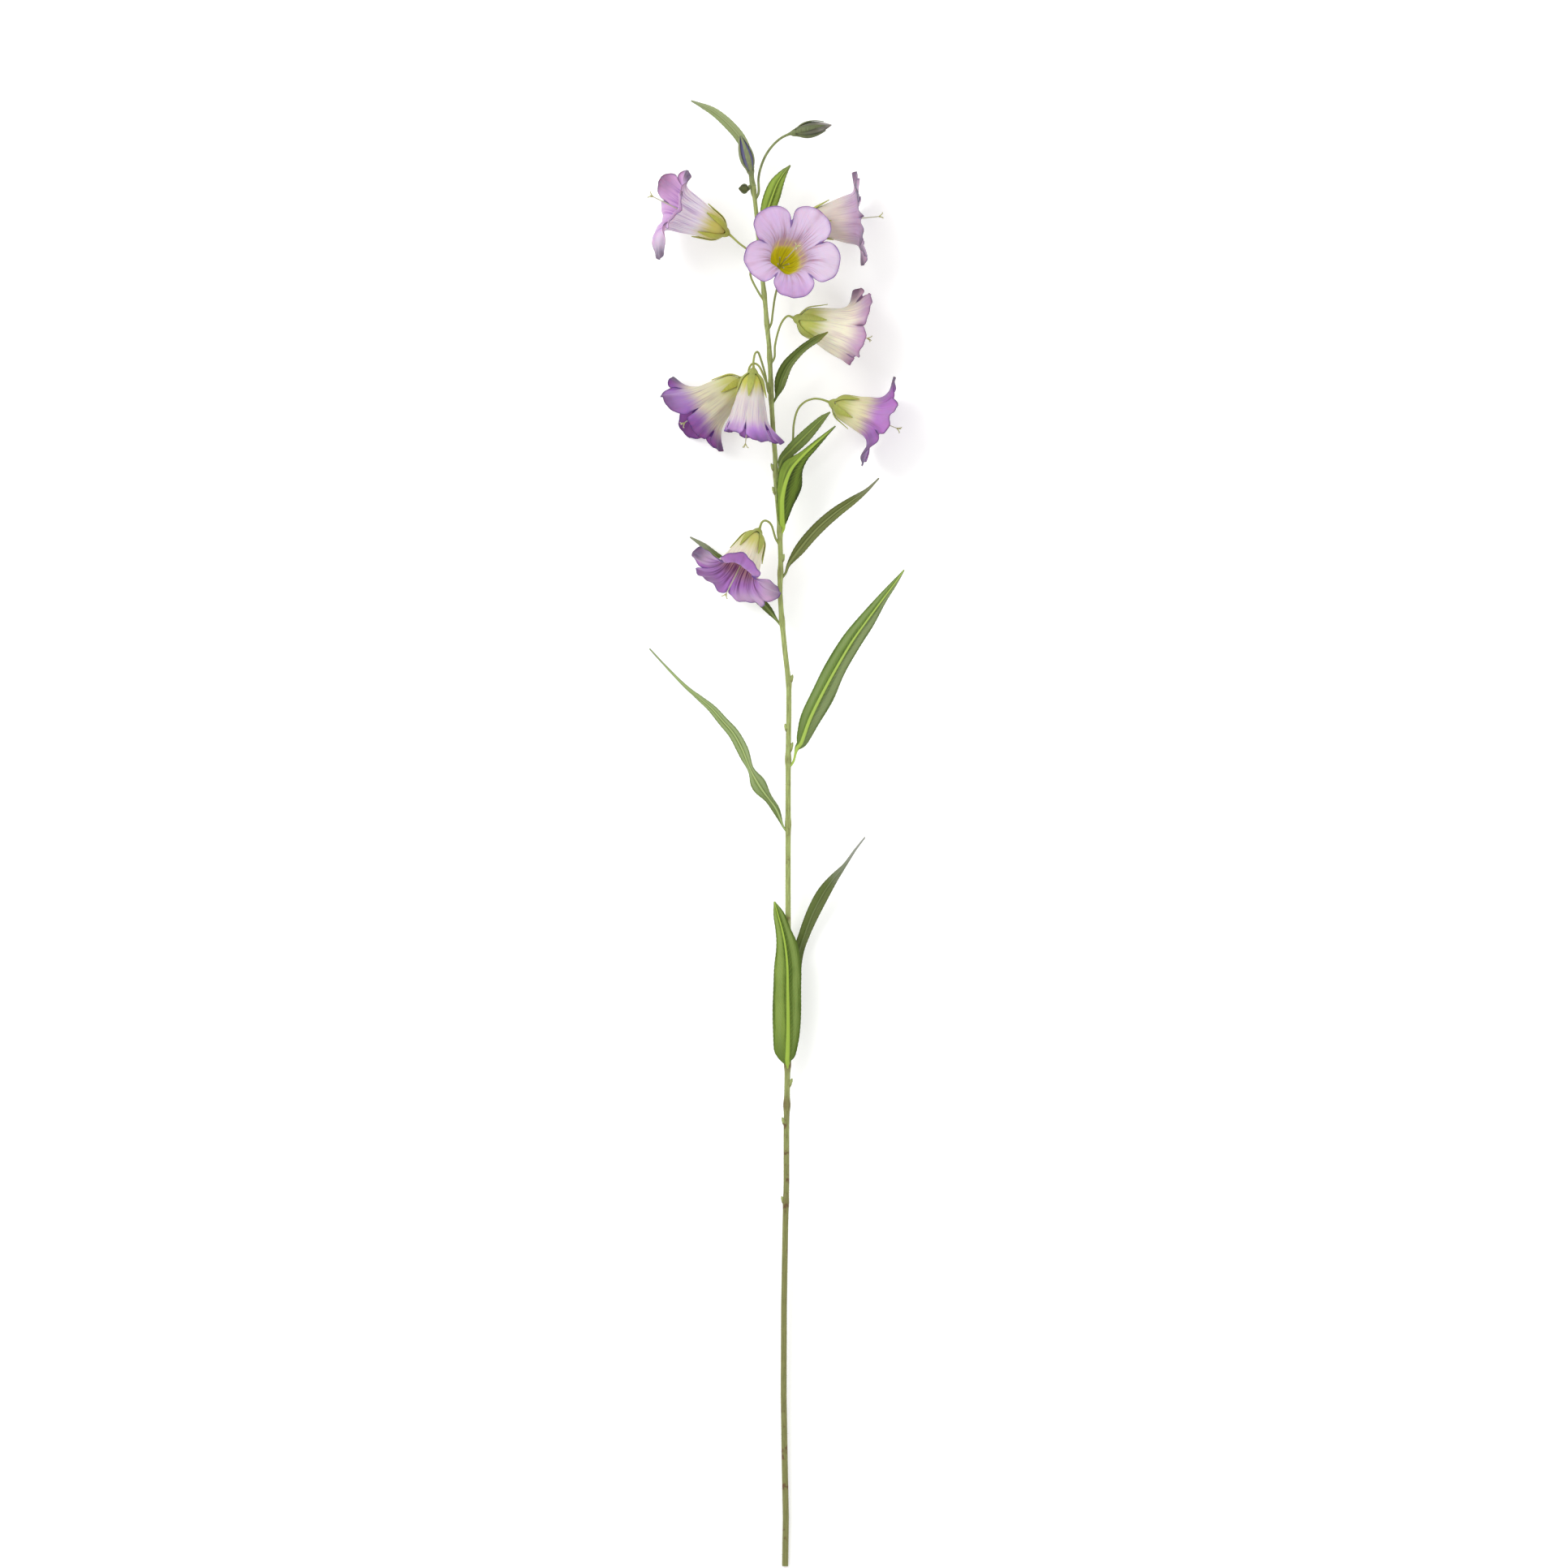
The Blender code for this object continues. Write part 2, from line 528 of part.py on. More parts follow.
class Bud:
    """A closed bud: its place, its axis, its length and its width."""

    def __init__(self, base, tip, width, roll, sepal):
        self.foot = plan(*base)
        self.axis = (plan(*tip) - plan(*base)).normalized()
        self.length = (plan(*tip) - plan(*base)).length
        self.width = width * MM
        self.roll = math.radians(roll)
        self.sepal_length = sepal * MM
        up = Vector((0, 0, 1))
        self.up = (up - self.axis * up.dot(self.axis)).normalized()
        self.side = self.axis.cross(self.up)

    def radius(self, part):
        """The bud's radius at a part of its length."""
        swell = math.sin(math.pi * min(part, 1.0) ** 0.75) ** 0.8 if 0 < part < 1 else 0.0
        return max(self.width / 2 * swell, 0.35 * MM)

    def place(self, radial, axial, azimuth):
        """The point in space at a radius, a place along the axis and an azimuth."""
        out = math.cos(azimuth) * self.up + math.sin(azimuth) * self.side
        return self.foot + self.axis * axial + out * radial

    def petals(self):
        """The folded petals: a pointed body with five ridges that turn a little."""
        columns, rings = BUD_COLUMNS, BUD_RINGS
        start = self.cup_height() + SEAT_GAP
        length = self.length - start
        corners = [self.foot + self.axis * start]
        for ring in range(rings):
            part = BUD_PARTS[0] + (BUD_PARTS[1] - BUD_PARTS[0]) * ring / (rings - 1)
            for column in range(columns):
                azimuth = self.roll + 2 * math.pi * column / columns + BUD_TWIST * part
                ridge = 1.0 if column % 2 == 0 else BUD_FURROW
                corners.append(self.place(self.radius(part) * ridge, start + length * part, azimuth))
        corners.append(self.foot + self.axis * self.length)
        faces = []
        for column in range(columns):
            after = (column + 1) % columns
            faces.append((0, 1 + after, 1 + column))
            for ring in range(rings - 1):
                a = 1 + ring * columns + column
                b = 1 + ring * columns + after
                faces.append((a, b, b + columns))
                faces.append((a, b + columns, a + columns))
            top = 1 + (rings - 1) * columns
            faces.append((top + column, top + after, len(corners) - 1))
        return corners, faces

    def cup_height(self):
        """The height of the bud's cup, smaller on a small bud."""
        return min(CUP_HEIGHT, self.length * BUD_CUP_SHARE)

    def skin(self, along):
        """Radius, place along the axis and slope of the bud's outside at a path length."""
        start = self.cup_height() + SEAT_GAP
        length = self.length - start
        part = min(along / length + BUD_SKIN_START, 1.0)
        ahead = min(part + 0.02, 1.0)
        slope = math.atan2(self.radius(ahead) - self.radius(part), (ahead - part) * length + 1e-9)
        return self.radius(part), start + part * length, slope


def cup_shape(flower, height, radius):
    """The green cup under a flower, turned about its axis."""
    sides = CUP_SIDES
    corners = []
    for along, share in CUP_OUTLINE:
        for step in range(sides):
            azimuth = 2 * math.pi * step / sides
            corners.append(flower.place(radius * share, height * along, azimuth))
    faces = []
    for ring in range(len(CUP_OUTLINE) - 1):
        for step in range(sides):
            a = ring * sides + step
            b = ring * sides + (step + 1) % sides
            faces.append((a, b, b + sides, a + sides))
    faces.append(tuple(reversed(range(sides))))
    faces.append(tuple(range(len(corners) - sides, len(corners))))
    return corners, faces


def sepal_shape(flower, azimuth, height, radius, half_width, lift):
    """One narrow pointed sepal that hugs the flower's outside, rooted in the cup."""
    offset = SEPAL_STAND + SEPAL_THICKNESS / 2
    rows = [[]]
    for side in (-1, 0, 1):
        turn = azimuth + side * half_width * 0.45 / radius
        rows[0].append(flower.place(radius * 0.66, height * 0.55, turn))
    for part in SEPAL_PARTS:
        radial, axial, slope = flower.skin(part * flower.sepal_length)
        stand = offset + lift * part * part * MM
        radial += stand * math.cos(slope)
        axial -= stand * math.sin(slope)
        swell = SEPAL_FOOT_WIDTH + (1 - SEPAL_FOOT_WIDTH) * ease(part / 0.3)
        width = half_width * max(swell * math.cos(part * math.pi / 2) ** 0.8, SEPAL_TIP_WIDTH)
        row = []
        for side in (-1, 0, 1):
            row.append(flower.place(radial, axial, azimuth + side * width / max(radial, MM)))
        rows.append(row)
    return sheet(rows, (SEPAL_THICKNESS * 0.9, SEPAL_THICKNESS * 1.1, SEPAL_THICKNESS * 0.9))


def build_calyx(name, flower, stalk, material, height, radius, half_width, stalk_radius, lifts):
    """A flower's stalk, cup and five sepals as one body."""
    ends = [flower.foot, flower.foot + flower.axis * height * 0.4]
    route = [stalk[0], *smooth_route(stalk[2:] + ends, round(1.4 * len(stalk)) + 1)]
    thickness = [stalk_radius] * len(route)
    thickness[0] = stalk_radius * STALK_BASE_SWELL
    shapes = [cup_shape(flower, height, radius), tube(route, thickness, STALK_SIDES)]
    for number in range(len(lifts)):
        azimuth = flower.roll + 2 * math.pi * (number + 0.5) / len(lifts)
        shapes.append(sepal_shape(flower, azimuth, height, radius, half_width, lifts[number]))
    return new_object(name, shapes, material)


def build_pistil(name, bell, material):
    """The style with its three-parted stigma, and the stamens round its foot."""
    start = CUP_HEIGHT + SEAT_GAP + PETAL_THICKNESS + SEAT_GAP
    end = CUP_HEIGHT + bell.depth + STYLE_PAST_MOUTH
    centre = bell.place
    places = [start, start + 2 * MM, start + 5 * MM, end]
    radii = [STYLE_FOOT_RADIUS, STYLE_FOOT_RADIUS * 0.85, STYLE_RADIUS, STYLE_RADIUS]
    shapes = [tube([centre(0, place, 0) for place in places], radii, STALK_SIDES)]
    for number in range(STIGMA_ARMS):
        azimuth = bell.roll + 2 * math.pi * number / STIGMA_ARMS
        root = centre(0.1 * MM, end - 0.6 * MM, azimuth)
        curl = [root, centre(STIGMA_REACH, end + 1.8 * MM, azimuth)]
        shapes.append(tube(curl, STIGMA_RADII, FINE_SIDES))
    for number in range(LOBES):
        azimuth = bell.roll + LOBE_ARC * number
        filament = [
            centre(0.5 * MM, start + 1.0 * MM, azimuth),
            centre(STAMEN_LEAN, start + STAMEN_LENGTH, azimuth),
        ]
        shapes.append(tube(filament, STAMEN_RADII, FINE_SIDES))
    return new_object(name, shapes, material)


# Open bells: base and rim centre in plan and height, roll, lobe slopes; then the stalk's start
# on the stem, its first direction, and the points that it passes
BELLS = {
    "bell_a": (Bell((899, 289, 28), (825.5, 253, 35.5), -4, (108, 102, 22, 137, 122),
                    (0.6, 0.5, 1.0, 0.8, 1.55), 1.06, (30, 46)),
               (322, (-1, 0.3, 0.2)), ((921.6, 308.4, 30), (911, 300, 29.8))),
    "bell_b": (Bell((958, 331, 24), (976, 312, 59), 35, (84, 86, 88, 88, 82),
                    (1.1, 1.05, 0.85, 1, 1.15), 1.02),
               (362, (-0.9, 0.5, 0)),
               ((925.5, 342, 24), (926, 331, 21), (935, 324, 18.5), (947, 326, 17.5),
                (955, 331, 19))),
    "bell_c": (Bell((987, 276, 29), (1059.5, 269, 29), 36, (88, 92, 88, 92, 90),
                    (0.42, 0.42, 0.34, 0.42, 0.42), 1.28, (31, 40)),
               (398, (1, 0.2, -0.3)),
               ((952, 386, 24.5), (955, 365, 20), (961, 342, 15), (969, 314, 17), (977, 290, 24))),
    "bell_d": (Bell((977, 391.5, 33), (1046, 410.5, 28.3), 18, (34, 10, 44, 95, 52),
                    (0.55, 0.2, 0.25, 0.3, 0.6), 1.27, (23, 45)),
               (440, (1, 0.6, 0.1)),
               ((955, 425, 27.8), (959.6, 406, 30), (964.7, 395, 31.8), (970.8, 389.5, 33))),
    "bell_e": (Bell((921, 465, 0), (863, 506.5, 1), 45, (25, 72, 15, 59, 8),
                    (1.5, 0.3, 1.35, 0.4, 0.8), 1.22, (22, 45), rests=True),
               (470, (-1, 0.5, -0.2)),
               ((936, 452, 23), (928.5, 447.5, 22.5), (923.5, 452.5, 23.5))),
    "bell_f": (Bell((928.5, 453.5, 43), (921, 523.5, 43), 42, (23, 8, 22, 46, 43),
                    (0.45, 0.45, 0.8, 1.45, 1.4), 0.85, (29, 44)),
               (480, (-0.7, 0.2, 0.7)),
               ((943, 462, 32), (937.5, 443, 38), (934, 434.5, 41), (930.3, 436.5, 43),
                (928.4, 446, 43.3))),
    "bell_g": (Bell((1021, 495, 0), (1083, 519, 1), -14, (50, 92, 88, 92, 93),
                    (1.15, 1.15, 0.9, 0.9, 0.85), rests=True),
               (592, (0.9, 0.3, -0.4)),
               ((970, 563, 21), (976.5, 545, 21.5), (978, 523, 23), (982.5, 505.5, 24.5),
                (991, 495.5, 26), (1002, 491.3, 27), (1012, 492, 27.3))),
    "bell_h": (Bell((936, 651, 25), (905, 712, 38), 0, (104, 96, 92, 90, 96),
                    (1, 1, 1, 1, 1)),
               (663, (-1, 0.6, 0.3)),
               ((950.5, 647, 25), (944, 641.5, 26), (938.8, 643.5, 26))),
}
# Buds: base and tip, width, roll and sepal length; then the stalk's start and its points, the
# cup's radius, the sepals' half width, the stalk's radius and how many sepals
BUDS = {
    "bud_1": (Bud((926.5, 217, 31.5), (912.5, 168, 35), 7.4, -26, 20),
              None,
              ((928.1, 225.8, 29.95), (927.9, 224.5, 30.3), (927.6, 222.6, 30.6)),
              2.4, 1.5, STEM_TOP_RADIUS * 0.8, 5),
    "bud_2": (Bud((973, 165, 31.5), (1025, 154, 31.5), 9.0, 25, 15),
              (237, (0.9, 0.5, 0.1)),
              ((934.6, 220, 30.5), (937.5, 206, 31), (943.5, 191.5, 31.3), (952, 179.5, 31.5),
               (962, 170.5, 31.5)), 2.4, 1.6, STALK_RADIUS * 1.15, 5),
    "bud_3": (Bud((922.5, 233, 31.5), (910, 232.5, 34.5), 5.0, 0, 3.6),
              (229, (-0.9, 0.0, 0.5)), (), 1.5, 1.0, STALK_RADIUS * 0.8, 3),
}


def clear_scene():
    """Start from an empty scene."""
    for item in list(bpy.data.objects):
        bpy.data.objects.remove(item)


def build_flowers(green, lilac, violet, pale):
    """Every bell and bud, each with its stalk and calyx."""
    for name, (bell, (spring_y, direction), passes) in BELLS.items():
        stalk = spring_points(spring_y, direction) + [plan(*point) for point in passes]
        build_calyx(name + "_calyx", bell, stalk, green, CUP_HEIGHT, CUP_RADIUS,
                    SEPAL_HALF_WIDTH, STALK_RADIUS, SEPAL_LIFTS)
        petals = lilac if name in ("bell_a", "bell_b", "bell_c", "bell_d") else violet
        new_object(name + "_petals", [bell.corolla()], petals)
        build_pistil(name + "_pistil", bell, pale)
    for name, (bud, spring, passes, radius, half_width, stalk_radius, sepals) in BUDS.items():
        stalk = spring_points(*spring) if spring else []
        stalk += [plan(*point) for point in passes]
        build_calyx(name + "_calyx", bud, stalk, green, bud.cup_height(), radius * MM,
                    half_width * MM, stalk_radius, (0.0,) * sepals)
        new_object(name + "_petals", [bud.petals()], violet)


def main():
    """Build the whole stem."""
    clear_scene()
    stem_green = finish("stem_green", (0.30, 0.33, 0.12), 0.6)
    leaf_green = finish("leaf_green", (0.17, 0.26, 0.06), 0.55)
    calyx_green = finish("calyx_green", (0.40, 0.45, 0.10), 0.55)
    lilac = finish("petal_lilac", (0.75, 0.58, 0.82), 0.6)
    violet = finish("petal_violet", (0.50, 0.24, 0.60), 0.6)
    pale = finish("pistil_pale", (0.70, 0.72, 0.30), 0.5)
    build_stem(stem_green)
    for name, leaf in LEAVES.items():
        build_leaf(name, leaf, leaf_green)
    build_flowers(calyx_green, lilac, violet, pale)


main()
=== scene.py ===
"""The looks of a cut campanula stem that lies on a pale surface.

Places and sizes repeat the part's source, in its frame: metres, +Z up, the stem along +Y. Each
solid is replaced by a finer mesh of the same form, with its own procedural finish.
"""

import logging
import math
from dataclasses import dataclass, field
from enum import Enum
from typing import ClassVar

import bpy
import numpy as np
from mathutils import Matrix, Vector


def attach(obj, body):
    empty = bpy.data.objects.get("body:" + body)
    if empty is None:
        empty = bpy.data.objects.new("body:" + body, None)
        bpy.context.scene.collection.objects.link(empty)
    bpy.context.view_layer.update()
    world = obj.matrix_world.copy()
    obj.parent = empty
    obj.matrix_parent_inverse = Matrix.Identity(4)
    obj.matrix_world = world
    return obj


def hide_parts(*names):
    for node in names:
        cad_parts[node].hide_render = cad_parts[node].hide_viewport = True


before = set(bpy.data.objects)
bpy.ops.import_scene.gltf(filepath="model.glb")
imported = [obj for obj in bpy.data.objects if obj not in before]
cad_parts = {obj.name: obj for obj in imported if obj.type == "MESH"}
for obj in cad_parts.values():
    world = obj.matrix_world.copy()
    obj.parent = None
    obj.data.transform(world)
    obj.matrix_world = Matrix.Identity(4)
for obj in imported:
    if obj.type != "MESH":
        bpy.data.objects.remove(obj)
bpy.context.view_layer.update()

LOG = logging.getLogger("campanula")

Colour = tuple[int, int, int]
Plan = tuple[float, float, float]
Spring = tuple[float, tuple[float, float, float]]
Values = dict[str, np.ndarray]
Socket = bpy.types.NodeSocket

MM = 0.001

# Driving sizes, as in the part's source
STEM_LENGTH = 0.85
STEM_FOOT_RADIUS = 1.80 * MM
STEM_TOP_RADIUS = 1.15 * MM
STEM_RISE = math.radians(2.0)
STALK_RADIUS = 0.62 * MM
SEAT_GAP = 0.30 * MM
SPRING_LEAN = 0.05 * MM
SPRING_REACH = 0.8 * MM
CUP_HEIGHT = 3.5 * MM
CUP_RADIUS = 3.3 * MM
COROLLA_FOOT_RADIUS = 2.6 * MM
SEPAL_LENGTH = 18.0 * MM
SEPAL_LIFTS = (0.0, 0.9, 0.2, 1.4, 0.5)
PATH_FOOT = 9.0 * MM
FLARE = (26.0, 44.0)
PATH_NOTCH = 41.0 * MM
LOBE_REACH = 9.0 * MM
SLOPE_FOOT = math.radians(52.0)
SLOPE_TUBE = math.radians(11.0)
SLOPE_FLARE = math.radians(85.0)
SLOPE_SIDE = math.radians(14.0)
LOBES = 5
LOBE_ARC = 2.0 * math.pi / LOBES
PATH_STEPS = 48
BUD_SKIN_START = 0.09
CAD_PETAL_THICKNESS = 0.70 * MM
LEAF_WAVE = 0.45 * MM
LEAF_ROWS_PER_STATION = 1.12
PETIOLE = 1.4
SPRING_POINTS = 3
SEPAL_HALF_WIDTH = 2.3 * MM
STYLE_PAST_MOUTH = 12.0 * MM
STIGMA_REACH = 2.2 * MM
STIGMA_ARMS = 3
STAMEN_LEAN = 3.4 * MM
BUD_TWIST = 0.6
BUD_CUP_SHARE = 0.14
BUD_FOOT_SHARE = 0.7

# How fine and how thin the dressed meshes are
PETAL_THICKNESS = 0.34 * MM
LEAF_THICKNESS = 0.42 * MM
SEPAL_THICKNESS = 0.45 * MM
LOBE_COLUMNS = 30
PETAL_ROWS = 44
LEAF_ROWS = 130
LEAF_COLUMNS = 24
LIE_HEIGHT = 0.08 * MM
SEPAL_HUG = 0.40 * MM
BUD_HUG = 0.12 * MM
DUSK = (0.06, 0.05, 0.08, 1.0)
THROAT_SEAM = (0.16, 0.12, 0.02, 1.0)
LIGHT = 1.22
SHARP_ANGLE = math.radians(60)

# The fine form of the petals: rises from the plain skin, and where their lips start
RIB_RISE = 0.42 * MM
CREASE_RISE = 0.32 * MM
CREASE_SPREAD = 0.045
PUCKER_RISE = 0.32 * MM
LIP_RISE = 0.85 * MM
LIP_START = 0.72
RIM_WIDTH = 2.6 * MM
LOBE_BREADTH_MM = 24
NOTCH_DEPTH_MM = 9
DUSK_START = 0.76

# The fine form of the green parts
CUP_ROWS = 12
CUP_SIDES = 40
CUP_RIDGES = 10
CUP_RIDGE_SHARE = 0.05
CUP_PARTS = (0.0, 0.15, 0.4, 0.7, 1.0)
CUP_SHARES = (0.25, 0.45, 0.69, 0.88, 1.0)
SEPAL_COLUMNS = 9
SEPAL_ROWS = 22
SEPAL_FOOT_RADIUS = 0.66
SEPAL_FOOT_HEIGHT = 0.55
SEPAL_FOOT_SPREAD = 0.45
SEPAL_FOOT_WIDTH = 0.66
KEEL_RISE = 0.22 * MM
STALK_TONES = 0.45
CUP_TONES = 0.2
SEPAL_TONES = 0.6
STALK_SWELL = 1.6 * MM
STALK_SWELL_SHARES = (0.7, 0.8)
STALK_IN_CUP = 0.4
STALK_ROWS = 14

# The pistil: rows on each tube, and its parts' sizes
STYLE_ROWS = 24
ARM_ROWS = 8
STYLE_RADII = (1.3, 1.1, 0.4, 0.3)
STYLE_SWELL = (2 * MM, 5 * MM)
ARM_RADII = (0.34, 0.22)
ARM_DROP = 0.6 * MM
ARM_RISE = 2.4 * MM
STAMEN_FOOT = 0.5 * MM
STAMEN_START_MM = 1.0
STAMEN_LENGTH_MM = 9.0
STAMEN_RADII = (0.22, 0.5)

# The hairs: how many to a square metre, and how long
STEM_HAIR_DENSITY = 0.22e6
STEM_HAIR_LENGTH = 0.75 * MM
CALYX_HAIR_DENSITY = 0.1e6
CALYX_HAIR_LENGTH = 0.5 * MM
HAIR_SIZES = (0.4, 1.0)
HAIR_TIP_RADIUS = 0.02 * MM
HAIR_FOOT_RADIUS = 0.06 * MM

# The buds
BUD_ROWS = 40
BUD_SIDES = 50
BUD_LEAST_RADIUS = 0.35 * MM
BUD_TIP_RADIUS = 0.12 * MM
BUD_FOLDS = 2.5

# The photograph's plan, in its own pixels
FRAME_PIXELS = 1932
PLAN_MIDDLE_X = 956.7
PLAN_MIDDLE_Y = 1028.0
TIP_Y = 124.0
CUT_Y = 1932.0
PIXEL = STEM_LENGTH / (CUT_Y - TIP_Y)

STEM_ROUTE = (
    (967.4, 1932), (968.3, 1872), (966.9, 1803), (965.6, 1720), (966.0, 1610), (967.7, 1510),
    (969.0, 1459), (969.0, 1390), (969.8, 1348), (970.6, 1300), (971.0, 1200), (971.0, 1080),
    (971.1, 1003), (971.2, 929), (972.0, 881), (972.0, 842), (967.2, 802), (963.2, 762),
    (961.0, 730), (962.0, 690), (960.5, 645), (956.5, 600), (955.0, 560), (952.6, 530),
    (950.4, 493), (949.4, 462), (947.6, 425), (945.0, 401), (942.5, 370), (939.6, 345),
    (936.5, 315), (932.8, 270), (929.4, 240), (928.3, 227),
)
# Each joint: plan y, and how far it swells, in millimetres
STEM_JOINTS = (
    (234, 0.35), (285, 0.25), (322, 0.2), (362, 0.3), (398, 0.3), (440, 0.3), (474, 0.3),
    (490, 0.35), (585, 0.4), (655, 0.45), (706, 0.4), (765, 0.35), (840, 0.3), (936, 0.45),
    (1016, 0.4), (1312, 0.5), (1362, 0.55), (1482, 0.2),
)
JOINT_SPREAD = 7.0
ROOT_DROP = 9.0
# Each scar: plan y, its shares sideways and upwards, and its length in millimetres
STEM_NUBS = (
    (578, -1.0, 0.4, 1.3), (607, -1.0, 0.5, 1.3), (690, 1.0, 0.6, 1.0), (839, 1.0, 0.5, 1.3),
    (899, -1.0, 0.5, 1.0), (925, 1.0, 1.0, 2.2), (1338, 1.0, 0.6, 1.8), (1385, -1.0, 0.5, 1.3),
    (1482, -1.0, 0.4, 1.0),
)
NUB_RISE = 5.0
NUB_SHARES = (0.0, 0.45, 0.8, 1.0)
NUB_RADII = (0.8, 1.3, 0.9, 0.25)
WORN_SPREAD = 6.0
WORN_FROM = (1100.0, 1300.0)
WORN_SHARES = (0.5, 2.0)

# The fine form of the leaves; half widths are in pixels
LEAST_HALF = 0.8
TOOTHED_FROM = 3.0
TOOTH_DEPTH = 0.35 * PIXEL
TOOTH_PITCH_MM = 2.6
LEAF_LIE = 0.4 * MM
LEAF_RIB_RISE = 0.5 * MM
LEAF_RIB_SPREAD_MM = 0.55


class Slot(Enum):
    """The record's material slots."""

    STEM = "stem_green"
    LEAF = "leaf_green"
    CALYX = "calyx_green"
    LILAC = "petal_lilac"
    VIOLET = "petal_violet"
    PISTIL = "pistil_pale"


class Skin(Enum):
    """The two faces of a petal, as the finish tells them apart."""

    OUTER = 0.0
    INNER = 1.0


def plan(x: float, y: float, height_mm: float) -> Vector:
    """A point from its place in the photograph's plan and its height in millimetres.

    Args:
        x: Pixels from the picture's left edge.
        y: Pixels from its top edge.
        height_mm: Millimetres above the surface.

    Returns:
        The point in metres.
    """
    return Vector(((x - PLAN_MIDDLE_X) * PIXEL, (PLAN_MIDDLE_Y - y) * PIXEL, height_mm * MM))


def ease(value: float | np.ndarray) -> float | np.ndarray:
    """A smooth step from 0 to 1."""
    value = np.clip(value, 0.0, 1.0)
    return value * value * (3.0 - 2.0 * value)


def smooth_point(points: list[Vector], along: float) -> Vector:
    """A point on the Catmull-Rom curve through the given ones.

    Args:
        points: The curve's own points.
        along: The place on the curve, counted in spans.

    Returns:
        The point there.
    """
    ends = [2 * points[0] - points[1], *points, 2 * points[-1] - points[-2]]
    span = min(int(along), len(points) - 2)
    t = along - span
    before, start, end, after = ends[span:span + 4]
    return 0.5 * (
        2 * start
        + (end - before) * t
        + (2 * before - 5 * start + 4 * end - after) * t ** 2
        + (3 * start - before - 3 * end + after) * t ** 3
    )


def even_places(points: list[Vector], count: int) -> list[float]:
    """Places along a smooth curve, in spans, that cut it into equal lengths.

    Args:
        points: The curve's own points.
        count: How many places.

    Returns:
        The places, from its start to its end.
    """
    fine = 24 * (len(points) - 1)
    places = np.linspace(0, len(points) - 1, fine + 1)
    spots = np.array([smooth_point(points, place) for place in places])
    run = np.concatenate([[0.0], np.cumsum(np.linalg.norm(np.diff(spots, axis=0), axis=1))])
    return [float(place) for place in np.interp(np.linspace(0, run[-1], count), run, places)]


def smooth_route(points: list[Vector], count: int) -> list[Vector]:
    """Points at equal distances along the smooth curve through the given ones."""
    return [smooth_point(points, place) for place in even_places(points, count)]


def softened(values: np.ndarray, reach: int) -> np.ndarray:
    """Rows of values, each the mean of the rows within a reach of it.

    Args:
        values: Rows by columns.
        reach: How many rows to each side.

    Returns:
        The softened rows; the first and the last keep their values.
    """
    padded = np.pad(values, ((reach, reach), (0, 0)), mode="reflect", reflect_type="odd")
    shifts = range(2 * reach + 1)
    return sum(padded[shift:shift + len(values)] for shift in shifts) / len(shifts)


@dataclass
class Shape:
    """A closed shape: its corners, its faces and the values that its finish reads.

    Attributes:
        points: One row of x, y, z for each corner.
        faces: Corner numbers, counter-clockwise seen from outside.
        values: For each name, one number or one vector for each corner.
    """

    points: np.ndarray
    faces: list[tuple[int, ...]]
    values: Values = field(default_factory=dict)


def join(shapes: list[Shape]) -> Shape:
    """Several shapes as one; a value that a shape lacks is 0 on it.

    Args:
        shapes: The shapes, in order.

    Returns:
        The one shape.
    """
    names = {name: value.shape[1:] for shape in shapes for name, value in shape.values.items()}
    faces = []
    start = 0
    for shape in shapes:
        faces += [tuple(corner + start for corner in face) for face in shape.faces]
        start += len(shape.points)
    values = {}
    for name, tail in names.items():
        values[name] = np.concatenate(
            [shape.values.get(name, np.zeros((len(shape.points), *tail))) for shape in shapes]
        )
    return Shape(np.concatenate([shape.points for shape in shapes]), faces, values)


def grid_normals(grid: np.ndarray, wraps: bool) -> np.ndarray:
    """The unit normals of a grid of points, rows by columns.

    Args:
        grid: Rows by columns by 3.
        wraps: Whether the last column meets the first.

    Returns:
        One unit vector for each point.
    """
    along = np.gradient(grid, axis=0)
    if wraps:
        across = np.roll(grid, -1, axis=1) - np.roll(grid, 1, axis=1)
    else:
        across = np.gradient(grid, axis=1)
    normals = np.cross(across, along)
    return normals / np.maximum(np.linalg.norm(normals, axis=2, keepdims=True), 1e-12)


def strip_faces(
    rows: int, columns: int, wraps: bool, start: int, flip: bool
) -> list[tuple[int, ...]]:
    """The faces of a grid of corners.

    Args:
        rows: Corners along the grid.
        columns: Corners across it.
        wraps: Whether the last column meets the first.
        start: The number of the first corner.
        flip: Whether the faces turn the other way.

    Returns:
        Four corner numbers for each face.
    """
    faces = []
    for row in range(rows - 1):
        for column in range(columns if wraps else columns - 1):
            a = start + row * columns + column
            b = start + row * columns + (column + 1) % columns
            face = (a, b, b + columns, a + columns)
            faces.append(tuple(reversed(face)) if flip else face)
    return faces


